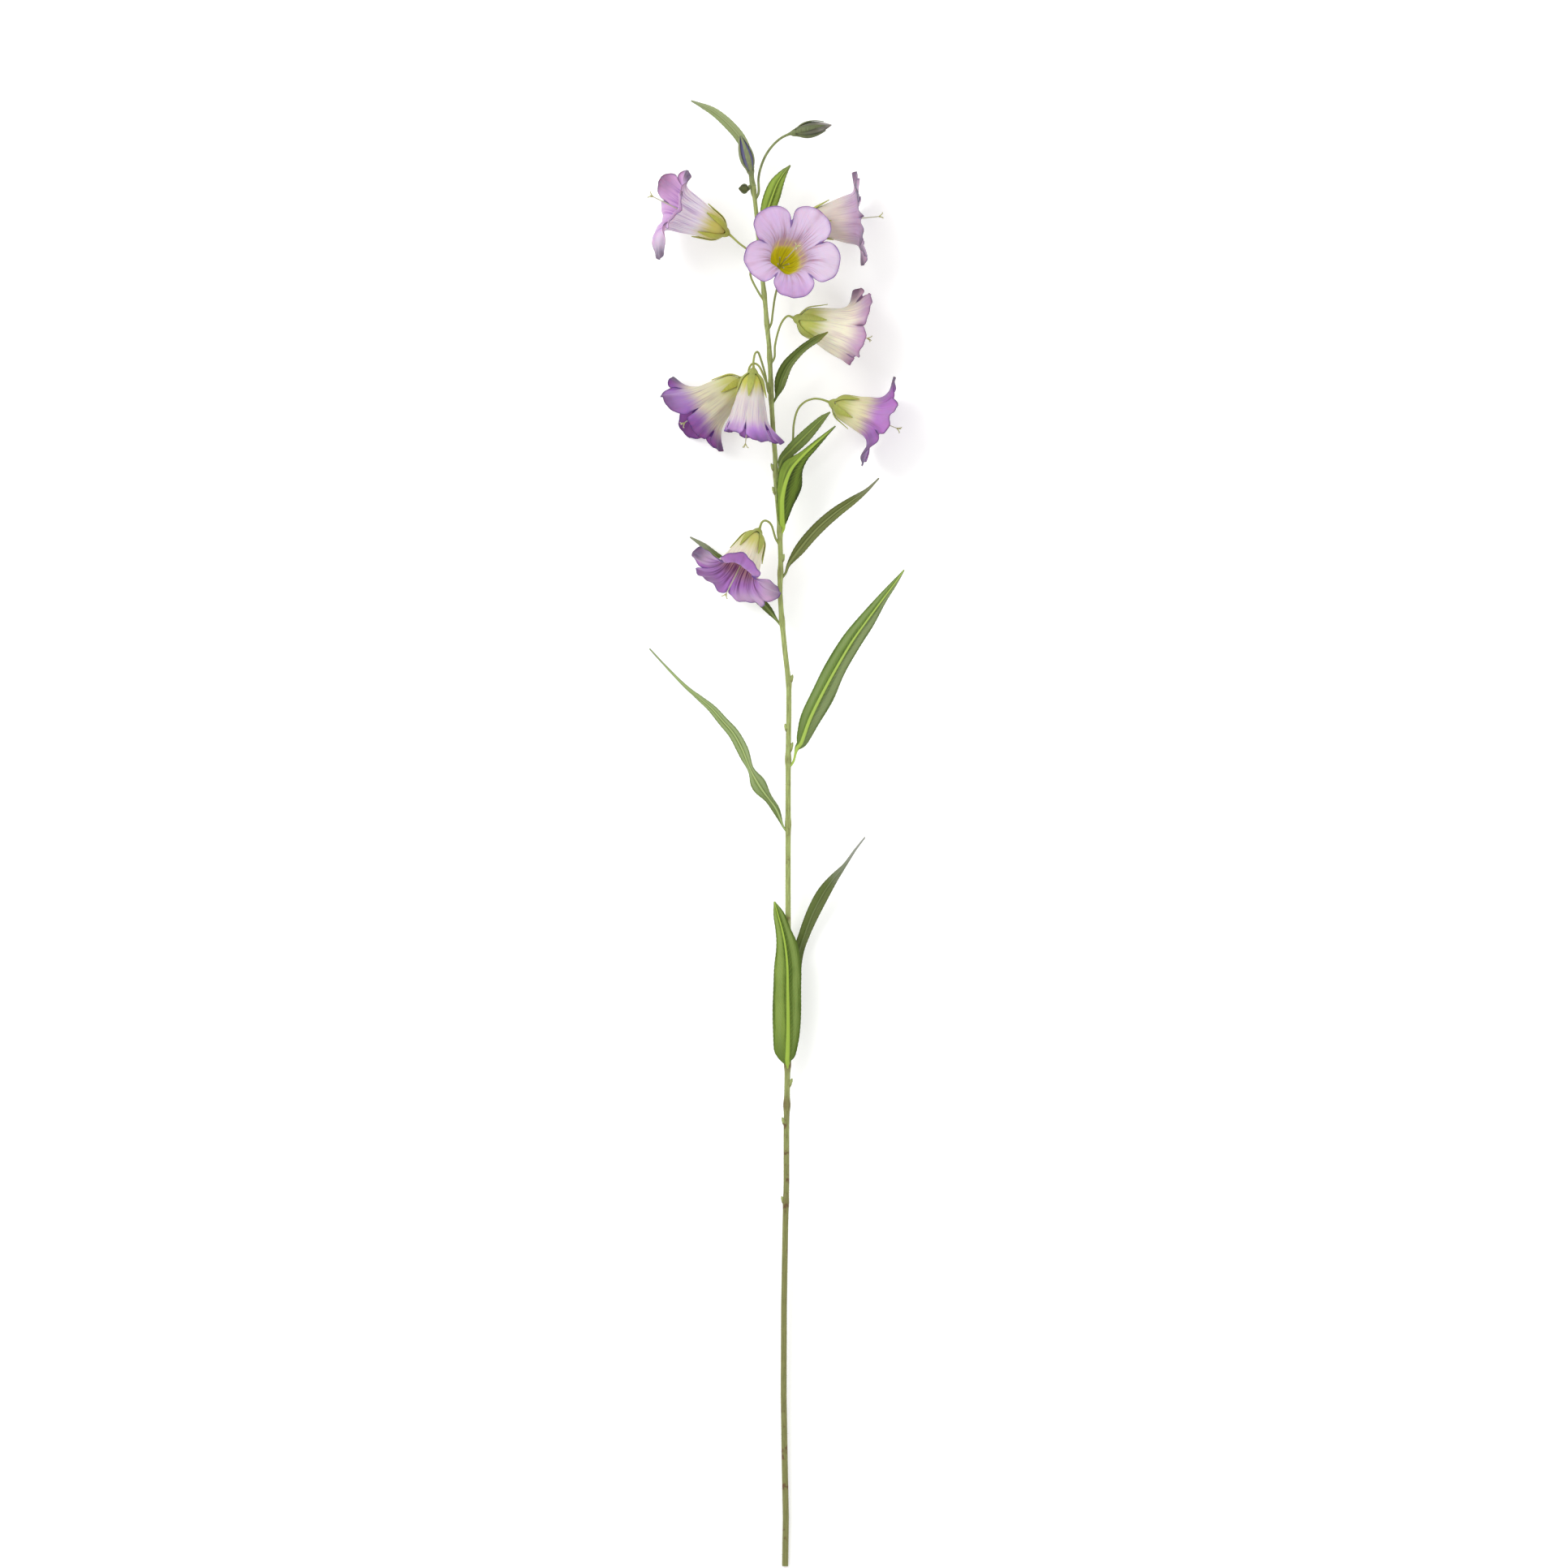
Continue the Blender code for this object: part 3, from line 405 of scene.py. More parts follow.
def blade(grid: np.ndarray, thickness: np.ndarray, values: Values) -> Shape:
    """A thin closed blade round a grid of points.

    Args:
        grid: The middle surface, rows by columns by 3.
        thickness: Its thickness at each point, rows by columns.
        values: The finish's values at each point of the grid.

    Returns:
        The closed shape; its first skin lies on the side of the grid's normals.
    """
    rows, columns = grid.shape[:2]
    push = grid_normals(grid, False) * thickness[..., None] / 2
    points = np.concatenate([(grid + push).reshape(-1, 3), (grid - push).reshape(-1, 3)])
    count = rows * columns
    faces = strip_faces(rows, columns, False, 0, False)
    faces += strip_faces(rows, columns, False, count, True)
    border = list(range(columns))
    border += [row * columns + columns - 1 for row in range(1, rows)]
    border += [(rows - 1) * columns + column for column in range(columns - 2, -1, -1)]
    border += [row * columns for row in range(rows - 2, 0, -1)]
    for a, b in zip(border, border[1:] + border[:1]):
        faces.append((a, a + count, b + count, b))
    doubled = {}
    for name, value in values.items():
        flat = value.reshape(count, *value.shape[2:])
        doubled[name] = np.concatenate([flat, flat])
    doubled["inside"] = np.repeat([Skin.OUTER.value, Skin.INNER.value], count)
    return Shape(points, faces, doubled)


def round_grain(turns: np.ndarray, parts: np.ndarray) -> np.ndarray:
    """The grain of a round skin: where each point lies round its axis and along it.

    Args:
        turns: One turn for each column, in radians.
        parts: One share of the length for each row.

    Returns:
        Rows by columns by 3.
    """
    rows = parts[:, None] * 1.0
    return np.stack(np.broadcast_arrays(np.cos(turns)[None, :], np.sin(turns)[None, :], rows), -1)


def turned(rings: np.ndarray, values: Values) -> Shape:
    """A closed body from rings of points, rows by columns by 3, with flat ends.

    Args:
        rings: The rings, first end first.
        values: The finish's values at each point.

    Returns:
        The closed shape.
    """
    rows, columns = rings.shape[:2]
    faces = strip_faces(rows, columns, True, 0, False)
    faces.append(tuple(reversed(range(columns))))
    faces.append(tuple(range((rows - 1) * columns, rows * columns)))
    flat = {name: value.reshape(rows * columns, *value.shape[2:]) for name, value in values.items()}
    return Shape(rings.reshape(-1, 3), faces, flat)


class NodeTree:
    """Shorthand for one node tree: it adds nodes, sets their sockets and links them."""

    def __init__(self, tree: bpy.types.NodeTree) -> None:
        """Keep the tree that the nodes go into."""
        self.tree = tree

    def plug(self, value: object, socket: bpy.types.NodeSocket) -> None:
        """Link a socket's output to this one, or set it to a plain value.

        Args:
            value: An output socket, or a plain value.
            socket: The input that takes it.
        """
        if isinstance(value, bpy.types.NodeSocket):
            self.tree.links.new(value, socket)
        else:
            socket.default_value = value

    def node(
        self,
        kind: str,
        settings: dict[str, object] | None = None,
        sockets: dict[int | str, object] | None = None,
    ) -> bpy.types.Node:
        """Add one node.

        Args:
            kind: Its Blender type.
            settings: Its own properties.
            sockets: Input names or numbers, with what goes into them.

        Returns:
            The node.
        """
        node = self.tree.nodes.new(kind)
        for name, value in (settings or {}).items():
            setattr(node, name, value)
        for name, value in (sockets or {}).items():
            self.plug(value, node.inputs[name])
        return node

    def math(self, operation: str, first: object, second: object = 0.0) -> Socket:
        """The result of one sum on two numbers."""
        sockets = {0: first, 1: second}
        return self.node("ShaderNodeMath", {"operation": operation}, sockets).outputs[0]

    def times(self, first: object, second: object) -> Socket:
        """Two numbers multiplied."""
        return self.math("MULTIPLY", first, second)

    def plus(self, first: object, second: object) -> Socket:
        """Two numbers added."""
        return self.math("ADD", first, second)

    def minus(self, first: object, second: object) -> Socket:
        """The second number taken from the first."""
        return self.math("SUBTRACT", first, second)

    def rest(self, share: object) -> Socket:
        """What a share leaves of 1."""
        return self.math("SUBTRACT", 1.0, share)

    def scaled(self, vector: object, factors: Plan) -> Socket:
        """A vector times three factors."""
        sockets = {0: vector, 1: factors}
        return self.node("ShaderNodeVectorMath", {"operation": "MULTIPLY"}, sockets).outputs[0]

    def smooth(self, value: object, low: object, high: object) -> Socket:
        """0 below low, 1 above high and a soft step between.

        Args:
            value: What is measured.
            low: Where the step starts.
            high: Where it ends.

        Returns:
            The step's height, 0 to 1.
        """
        sockets = {0: value, 1: low, 2: high}
        settings = {"interpolation_type": "SMOOTHSTEP"}
        return self.node("ShaderNodeMapRange", settings, sockets).outputs[0]

    def step(self, value: object, middle: object, before: float, after: float) -> Socket:
        """A soft step that starts and ends at distances from a middle."""
        low = self.plus(middle, before)
        return self.smooth(value, low, self.plus(middle, after))

    def centred(self, value: object, spread: float) -> Socket:
        """A random value moved to swing round 0, over a spread."""
        return self.times(self.minus(value, 0.5), spread)

    def blend(self, first: object, second: object, share: object, kind: str = "MIX") -> Socket:
        """Two colours mixed by a share.

        Args:
            first: The colour at a share of 0.
            second: The colour at a share of 1.
            share: How much of the second shows.
            kind: How they mix.

        Returns:
            The mixed colour.
        """
        settings = {"data_type": "RGBA", "blend_type": kind}
        return self.node("ShaderNodeMix", settings, {0: share, 6: first, 7: second}).outputs[2]

    def value_of(self, name: str, output: str = "Fac") -> Socket:
        """One of the mesh's own attributes."""
        return self.node("ShaderNodeAttribute", {"attribute_name": name}).outputs[output]

    def noise(
        self, vector: object, scale: float, detail: float = 3.0, rough: float = 0.55
    ) -> Socket:
        """A smooth random value on a vector."""
        sockets = {"Vector": vector, "Scale": scale, "Detail": detail, "Roughness": rough}
        return self.node("ShaderNodeTexNoise", None, sockets).outputs["Fac"]

    def place(self) -> Socket:
        """The object's own coordinates, in metres."""
        return self.node("ShaderNodeTexCoord").outputs["Object"]

    def bump(self, height: object, depth: float, strength: float = 1.0) -> Socket:
        """A normal bent by a height, whose full range is a depth in metres."""
        sockets = {"Height": height, "Distance": depth, "Strength": strength}
        return self.node("ShaderNodeBump", None, sockets).outputs[0]


def pattern_group(
    name: str, colours: list[str], numbers: list[str], results: list[str]
) -> tuple[bpy.types.NodeTree, NodeTree, bpy.types.Node, bpy.types.Node]:
    """A new shader group that puts out colours and a normal.

    Args:
        name: The group's name.
        colours: The names of its colour inputs.
        numbers: The names of its number inputs.
        results: The names of the colours that it puts out.

    Returns:
        The tree, its shorthand, its input node and its output node.
    """
    tree = bpy.data.node_groups.new(name, "ShaderNodeTree")
    for colour in colours:
        tree.interface.new_socket(colour, in_out="INPUT", socket_type="NodeSocketColor")
    for number in numbers:
        tree.interface.new_socket(number, in_out="INPUT", socket_type="NodeSocketFloat")
    for result in results:
        tree.interface.new_socket(result, in_out="OUTPUT", socket_type="NodeSocketColor")
    tree.interface.new_socket("Normal", in_out="OUTPUT", socket_type="NodeSocketVector")
    return tree, NodeTree(tree), tree.nodes.new("NodeGroupInput"), tree.nodes.new("NodeGroupOutput")


def petal_pattern() -> bpy.types.NodeTree:
    """A petal: foot, tube and lobe colours, long veins, a dark rim and a yellow throat.

    Returns:
        The group, with a colour and a painted glow deep in the throat. It reads the attributes along,
        across, margin, tone, dusk, inside and grain.
    """
    colours = ["Foot", "Tube", "Lobe", "Pale", "Deep", "Rim", "Vein", "Throat", "Mouth"]
    numbers = ["Foot End", "Lobe Start", "Inner Veins", "Outer Veins", "Rim Share", "Throat End",
               "Painted Light Share"]
    tree, make, given, result = pattern_group(
        "petal_pattern", colours, numbers, ["Color", "Painted Glow"]
    )
    socket = given.outputs
    along = make.value_of("along")
    inside = make.value_of("inside")
    grain = make.value_of("grain", "Vector")
    tone = make.value_of("tone")
    streak = make.noise(make.scaled(grain, (7.0, 7.0, 1.2)), 1.0, 2.0)
    vein = make.noise(make.scaled(grain, (15.0, 15.0, 1.6)), 1.0, 3.0, 0.6)
    fine = make.noise(make.scaled(grain, (46.0, 46.0, 9.0)), 1.0, 3.0, 0.6)
    cloud = make.noise(make.place(), 130.0, 3.0)
    place = make.plus(along, make.centred(streak, 0.22))
    foot_end, lobe_start, throat_end = socket["Foot End"], socket["Lobe Start"], socket["Throat End"]
    outer = make.blend(socket["Foot"], socket["Tube"], make.step(place, foot_end, -0.14, 0.14))
    outer = make.blend(outer, socket["Lobe"], make.step(place, lobe_start, -0.16, 0.14))
    deep_in = make.plus(along, make.centred(streak, 0.1))
    inner = make.blend(socket["Throat"], socket["Mouth"], make.step(deep_in, throat_end, -0.16, 0.0))
    seam = make.times(make.smooth(vein, 0.46, 0.64), make.rest(along))
    inner = make.blend(inner, THROAT_SEAM, make.times(seam, 0.7))
    inner = make.blend(inner, socket["Lobe"], make.step(deep_in, throat_end, 0.0, 0.2))
    colour = make.blend(outer, inner, inside)
    region = make.step(along, lobe_start, -0.12, 0.14)
    pale = make.times(make.math("MAXIMUM", make.times(tone, -1.0), 0.0), region)
    colour = make.blend(colour, socket["Pale"], pale)
    deep = make.times(make.math("MAXIMUM", tone, 0.0), region)
    deep = make.times(deep, make.plus(cloud, 0.4))
    colour = make.blend(colour, socket["Deep"], deep)
    fading = make.minus(1.06, make.smooth(along, 0.64, 0.9))
    window = make.times(make.smooth(along, 0.3, 0.62), fading)
    lines = make.times(make.smooth(vein, 0.46, 0.62), window)
    near = make.step(along, throat_end, 0.03, 0.2)
    near = make.minus(make.step(along, throat_end, -0.1, 0.0), near)
    marks = make.times(make.times(near, inside), make.smooth(vein, 0.42, 0.56))
    lines = make.math("MAXIMUM", lines, marks)
    middle = make.math("ABSOLUTE", make.value_of("across"))
    middle = make.rest(make.smooth(middle, 0.01, 0.07))
    middle = make.times(middle, make.smooth(cloud, 0.3, 0.7))
    middle = make.times(middle, make.smooth(along, 0.4, 0.6))
    lines = make.plus(lines, make.times(middle, 0.35))
    more = make.minus(socket["Inner Veins"], socket["Outer Veins"])
    veining = make.plus(socket["Outer Veins"], make.times(more, inside))
    colour = make.blend(colour, socket["Vein"], make.times(lines, veining))
    edge = make.plus(make.value_of("margin"), make.centred(cloud, 0.5))
    soft = make.times(make.rest(make.smooth(edge, 0.05, 1.0)), 0.45)
    line = make.rest(make.smooth(edge, 0.12, 0.36))
    edge = make.times(make.math("MAXIMUM", soft, line), socket["Rim Share"])
    colour = make.blend(colour, socket["Rim"], edge)
    dusk = make.times(make.value_of("dusk"), make.plus(cloud, 0.45))
    colour = make.blend(colour, make.blend(socket["Rim"], DUSK, 0.6), dusk)
    shade = make.times(make.minus(0.6, fine), 0.22)
    colour = make.blend(colour, (0.28, 0.2, 0.3, 1.0), shade, "MULTIPLY")
    make.plug(colour, result.inputs["Color"])
    # Painted glow: deep in the throat, the inside shines with its own colour as emission. This is
    # painted light where the lamps reach little.
    depth = make.rest(make.step(along, throat_end, -0.15, 0.25))
    painted_glow = make.times(make.times(depth, inside), socket["Painted Light Share"])
    make.plug(make.blend((0.0, 0.0, 0.0, 1.0), colour, painted_glow), result.inputs["Painted Glow"])
    relief = make.plus(fine, make.times(vein, 0.8))
    make.plug(make.bump(relief, 0.16 * MM, 0.7), result.inputs["Normal"])
    return tree


def leaf_pattern() -> bpy.types.NodeTree:
    """A leaf: one half in a painted lit green and the other in a painted shaded green, a painted sheen
    band, a pale rib, side veins and a faded tip.

    Returns:
        The group. It reads the attributes along, across, margin and grain.
    """
    colours = ["Left", "Right", "Rib", "Dark", "Gloss", "Tip"]
    numbers = ["Fade", "Rib Width", "Contrast"]
    tree, make, given, result = pattern_group("leaf_pattern", colours, numbers, ["Color"])
    socket = given.outputs
    across = make.value_of("across")
    along = make.value_of("along")
    grain = make.value_of("grain", "Vector")
    parts = make.node("ShaderNodeSeparateXYZ", None, {0: grain}).outputs
    width = make.math("ABSOLUTE", parts[0])
    streak = make.noise(make.scaled(grain, (1.1, 0.06, 1.0)), 1.0, 3.0, 0.6)
    fine = make.noise(make.scaled(grain, (5.0, 1.6, 1.0)), 1.0, 4.0, 0.65)
    cloud = make.noise(make.place(), 70.0, 3.0)
    # Painted light and shade: one half takes the left green and the other the right green. One of them
    # is painted lit and the other painted in shade.
    colour = make.blend(socket["Left"], socket["Right"], make.smooth(across, -0.1, 0.1))
    out = make.plus(make.math("ABSOLUTE", across), make.centred(streak, 0.5))
    # Painted sheen: a lighter band down the middle of each half, a painted highlight.
    gloss = make.minus(make.smooth(out, 0.3, 0.55), make.smooth(out, 0.6, 0.9))
    colour = make.blend(colour, socket["Gloss"], make.times(gloss, 0.6))
    beside = make.rest(make.smooth(out, 0.1, 0.42))
    outside = make.smooth(out, 0.74, 1.0)
    dark = make.plus(make.math("MAXIMUM", beside, outside), make.centred(cloud, 0.8))
    dark = make.times(dark, socket["Contrast"])
    low = make.rest(make.smooth(along, 0.0, 0.34))
    dark = make.math("MAXIMUM", dark, make.times(low, 0.8))
    colour = make.blend(colour, socket["Dark"], dark)
    slant = make.times(width, make.plus(make.times(width, 0.05), 0.3))
    wave = make.minus(make.times(parts[1], 0.36), slant)
    wave = make.plus(wave, make.times(cloud, 1.6))
    vein = make.math("ABSOLUTE", make.minus(make.math("FRACT", wave), 0.5))
    reach = make.times(socket["Rib Width"], make.minus(1.15, along))
    beside_rib = make.smooth(width, make.times(reach, 0.45), reach)
    rib = make.rest(beside_rib)
    vein = make.times(make.rest(make.smooth(vein, 0.02, 0.12)), beside_rib)
    colour = make.blend(colour, socket["Rib"], make.times(vein, 0.22))
    colour = make.blend(colour, socket["Rib"], rib)
    faded = make.plus(along, make.centred(cloud, 0.3))
    faded = make.smooth(faded, socket["Fade"], make.plus(socket["Fade"], 0.3))
    colour = make.blend(colour, socket["Tip"], faded)
    shade = make.times(make.minus(0.6, fine), 0.4)
    colour = make.blend(colour, (0.2, 0.25, 0.1, 1.0), shade, "MULTIPLY")
    make.plug(colour, result.inputs["Color"])
    relief = make.minus(make.times(fine, 0.5), vein)
    make.plug(make.bump(relief, 0.14 * MM, 0.8), result.inputs["Normal"])
    return tree


def plant_skin_pattern() -> bpy.types.NodeTree:
    """Stalk skin: a colour low down and one at the far end, long streaks and small blemishes.

    Returns:
        The group. It reads the attribute along and the object's own coordinates.
    """
    colours = ["Low", "High", "Streak", "Blemish"]
    numbers = ["Streaks", "Blemishes", "Turn Start", "Turn End"]
    tree, make, given, result = pattern_group(
        "plant_skin_pattern", colours, numbers, ["Color"]
    )
    socket = given.outputs
    place = make.place()
    cloud = make.noise(place, 45.0, 3.0)
    long = make.noise(make.scaled(place, (2600.0, 90.0, 2600.0)), 1.0, 2.0, 0.6)
    spot = make.noise(place, 150.0, 3.0, 0.6)
    fine = make.noise(place, 2400.0, 2.0)
    share = make.plus(make.value_of("along"), make.centred(cloud, 0.4))
    turn = make.smooth(share, socket["Turn Start"], socket["Turn End"])
    colour = make.blend(socket["Low"], socket["High"], turn)
    streak = make.times(make.smooth(long, 0.42, 0.62), socket["Streaks"])
    colour = make.blend(colour, socket["Streak"], streak)
    worn = make.minus(1.25, make.smooth(share, 0.3, 0.7))
    blemish = make.times(make.smooth(spot, 0.56, 0.68), socket["Blemishes"])
    blemish = make.times(blemish, worn)
    scar = make.times(make.value_of("worn"), make.smooth(cloud, 0.3, 0.5))
    blemish = make.math("MAXIMUM", blemish, make.times(scar, 0.8))
    colour = make.blend(colour, socket["Blemish"], blemish)
    make.plug(colour, result.inputs["Color"])
    relief = make.plus(make.times(long, 0.7), make.times(fine, 0.3))
    make.plug(make.bump(relief, 0.12 * MM, 0.8), result.inputs["Normal"])
    return tree


def linear(colour: Colour) -> tuple[float, float, float, float]:
    """The base colour that shows a picture colour, 0 to 255, where a face looks up to the light.

    Args:
        colour: Red, green and blue as seen.

    Returns:
        The linear base colour, with an alpha of 1.
    """
    parts = [value / 255 for value in colour]
    parts = [v / 12.92 if v <= 0.04045 else ((v + 0.055) / 1.055) ** 2.4 for v in parts]
    return (*(part / LIGHT for part in parts), 1.0)


def dressed_material(
    name: str, group: bpy.types.NodeTree, inputs: dict[str, object], shader: dict[str, float]
) -> bpy.types.Material:
    """A material whose colour and normal come from a pattern group.

    Args:
        name: The material's name.
        group: The pattern group.
        inputs: The group's inputs: colours from 0 to 255, or numbers.
        shader: Constants for the shader's own sockets.

    Returns:
        The material.
    """
    material = bpy.data.materials.new(name)
    material.use_nodes = True
    make = NodeTree(material.node_tree)
    pattern = make.node("ShaderNodeGroup", {"node_tree": group})
    for key, value in inputs.items():
        pattern.inputs[key].default_value = linear(value) if isinstance(value, tuple) else value
    principled = material.node_tree.nodes["Principled BSDF"]
    for key, value in shader.items():
        principled.inputs[key].default_value = value
    make.plug(pattern.outputs["Color"], principled.inputs["Base Color"])
    # Painted glow: where the group puts one out, it goes into the emission, so that part lights itself.
    if "Painted Glow" in pattern.outputs:
        make.plug(pattern.outputs["Painted Glow"], principled.inputs["Emission Color"])
    make.plug(pattern.outputs["Normal"], principled.inputs["Normal"])
    return material


class Finish:
    """A finish, each of whose fields fills the pattern group's input of the same name."""

    shader: ClassVar[dict[str, float]] = {}

    def material(self, name: str, group: bpy.types.NodeTree) -> bpy.types.Material:
        """The finish as a material, with its constants on the shader's own sockets."""
        inputs = {key.replace("_", " ").title(): value for key, value in vars(self).items()}
        return dressed_material(name, group, inputs, self.shader)


@dataclass(frozen=True)
class PetalFinish(Finish):
    """One bloom's petal colours, as seen, and how strongly its veins and rim show."""

    foot: Colour = (200, 202, 100)
    tube: Colour = (236, 226, 236)
    lobe: Colour = (226, 204, 232)
    pale: Colour = (234, 222, 236)
    deep: Colour = (205, 165, 215)
    rim: Colour = (165, 130, 185)
    vein: Colour = (165, 120, 180)
    throat: Colour = (168, 160, 24)
    mouth: Colour = (222, 212, 140)
    foot_end: float = 0.2
    lobe_start: float = 0.72
    inner_veins: float = 0.4
    rim_share: float = 0.5
    throat_end: float = 0.5
    outer_veins: float = 0.4
    # How strongly painted glow lights the inside of the throat.
    painted_light_share: float = 0.35

    shader = {
        "Roughness": 0.62, "Specular IOR Level": 0.3, "Sheen Weight": 0.12,
        "Sheen Roughness": 0.5, "Subsurface Weight": 0.25, "Subsurface Scale": 0.0012,
        # The emission carries the painted glow in the throat.
        "Emission Strength": 1.0,
    }


@dataclass(frozen=True)
class LeafFinish(Finish):
    """One leaf's greens, as seen, and where its tip starts to fade."""

    # Left and right: one half's green is painted lit, the other's is painted in shade.
    left: Colour = (121, 142, 71)
    right: Colour = (106, 126, 64)
    rib: Colour = (140, 164, 84)
    dark: Colour = (70, 92, 38)
    # The painted sheen: the colour of a painted highlight band along each half.
    gloss: Colour = (124, 150, 84)
    tip: Colour = (150, 160, 110)
    fade: float = 0.8
    rib_width: float = 0.8
    contrast: float = 0.6

    shader = {
        "Roughness": 0.6, "Specular IOR Level": 0.22,
        "Subsurface Weight": 0.06, "Subsurface Scale": 0.0008,
    }


@dataclass(frozen=True)
class StalkFinish(Finish):
    """The colours of a stem, a stalk with its calyx, or a pistil."""

    low: Colour
    high: Colour
    streak: Colour
    blemish: Colour
    streaks: float = 0.5
    blemishes: float = 0.5
    turn_start: float = 0.1
    turn_end: float = 0.9

    shader = {
        "Roughness": 0.55, "Specular IOR Level": 0.35, "Sheen Weight": 0.05,
        "Subsurface Weight": 0.06, "Subsurface Scale": 0.0008,
    }


def geometry_group(
    name: str, inputs: dict[str, str]
) -> tuple[bpy.types.NodeTree, NodeTree, bpy.types.NodeOutputs]:
    """A new geometry tree with a geometry, its own inputs and a skin.

    Args:
        name: The tree's name.
        inputs: The names of its own inputs, with their kinds.

    Returns:
        The tree, its shorthand and the sockets of its inputs.
    """
    tree = bpy.data.node_groups.new(name, "GeometryNodeTree")
    for label, kind in {"Geometry": "Geometry", **inputs, "Skin": "Material"}.items():
        tree.interface.new_socket(label, in_out="INPUT", socket_type="NodeSocket" + kind)
    tree.interface.new_socket("Geometry", in_out="OUTPUT", socket_type="NodeSocketGeometry")
    make = NodeTree(tree)
    return tree, make, make.node("NodeGroupInput").outputs


def end_tree(make: NodeTree, geometry: Socket, skin: Socket) -> None:
    """Realize a tree's instances, set their material and put them out.

    Args:
        make: The tree's shorthand.
        geometry: What it has made.
        skin: The material's socket.
    """
    real = make.node("GeometryNodeRealizeInstances", None, {0: geometry})
    coat = make.node("GeometryNodeSetMaterial", None, {0: real.outputs[0], "Material": skin})
    make.node("NodeGroupOutput", None, {0: coat.outputs[0]})


def evaluated_mesh(body: bpy.types.Object) -> bpy.types.Mesh:
    """A plain mesh of an object as its modifiers leave it."""
    graph = bpy.context.evaluated_depsgraph_get()
    return bpy.data.meshes.new_from_object(body.evaluated_get(graph))


@dataclass
class PathTubes:
    """Round tubes that follow paths, made by one Geometry Nodes tree.

    Attributes:
        sides: Corners round each tube.
    """

    sides: int = 14

    def __post_init__(self) -> None:
        """Build the tree."""
        self.tree, make, given = geometry_group("path_tubes", {"Sides": "Int"})
        curve = make.node("GeometryNodeMeshToCurve", None, {"Mesh": given["Geometry"]}).outputs[0]
        named = make.node("GeometryNodeInputNamedAttribute", {"data_type": "FLOAT"}, {"Name": "radius"})
        ring = make.node(
            "GeometryNodeCurvePrimitiveCircle", None, {"Resolution": given["Sides"], "Radius": 1.0}
        )
        tube = make.node("GeometryNodeCurveToMesh", None, {
            "Curve": curve, "Profile Curve": ring.outputs[0], "Scale": named.outputs[0],
            "Fill Caps": True,
        })
        smooth = make.node("GeometryNodeSetShadeSmooth", None, {0: tube.outputs[0]})
        end_tree(make, smooth.outputs[0], given["Skin"])

    def grow(self, paths: list[tuple[list[Vector], list[float]]], skin: bpy.types.Material) -> Shape:
        """Tubes along paths.

        Args:
            paths: For each tube, its points and its radius at each.
            skin: The tubes' material.

        Returns:
            One shape, with the value along from 0 to 1 on each tube.
        """
        points = [point for path, _ in paths for point in path]
        radii = [radius for _, path_radii in paths for radius in path_radii]
        along = [step / (len(path) - 1) for path, _ in paths for step in range(len(path))]
        edges = []
        start = 0
        for path, _ in paths:
            edges += [(start + step, start + step + 1) for step in range(len(path) - 1)]
            start += len(path)
        mesh = bpy.data.meshes.new("paths")
        mesh.from_pydata(points, edges, [])
        for name, values in (("radius", radii), ("along", along)):
            mesh.attributes.new(name, "FLOAT", "POINT").data.foreach_set("value", values)
        body = bpy.data.objects.new("paths", mesh)
        bpy.context.scene.collection.objects.link(body)
        modifier = body.modifiers.new("Tubes", "NODES")
        modifier.node_group = self.tree
        set_inputs(modifier, {"Sides": self.sides, "Skin": skin})
        shape = read_shape(body)
        bpy.data.objects.remove(body)
        return shape


def set_inputs(modifier: bpy.types.Modifier, wanted: dict[str, object]) -> None:
    """Set a Geometry Nodes modifier's inputs by the identifiers of their sockets.

    Args:
        modifier: The modifier.
        wanted: Values by the inputs' names.
    """
    for item in modifier.node_group.interface.items_tree:
        if item.in_out == "INPUT" and item.name in wanted:
            modifier[item.identifier] = wanted[item.name]


def read_shape(body: bpy.types.Object) -> Shape:
    """An object's evaluated mesh as a shape, with its value along.

    Args:
        body: An object with its modifiers still live.

    Returns:
        The shape; the mesh itself is removed.
    """
    mesh = evaluated_mesh(body)
    points = np.empty(len(mesh.vertices) * 3)
    mesh.vertices.foreach_get("co", points)
    along = np.empty(len(mesh.vertices))
    mesh.attributes["along"].data.foreach_get("value", along)
    faces = [tuple(face.vertices) for face in mesh.polygons]
    bpy.data.meshes.remove(mesh)
    return Shape(points.reshape(-1, 3), faces, {"along": along})


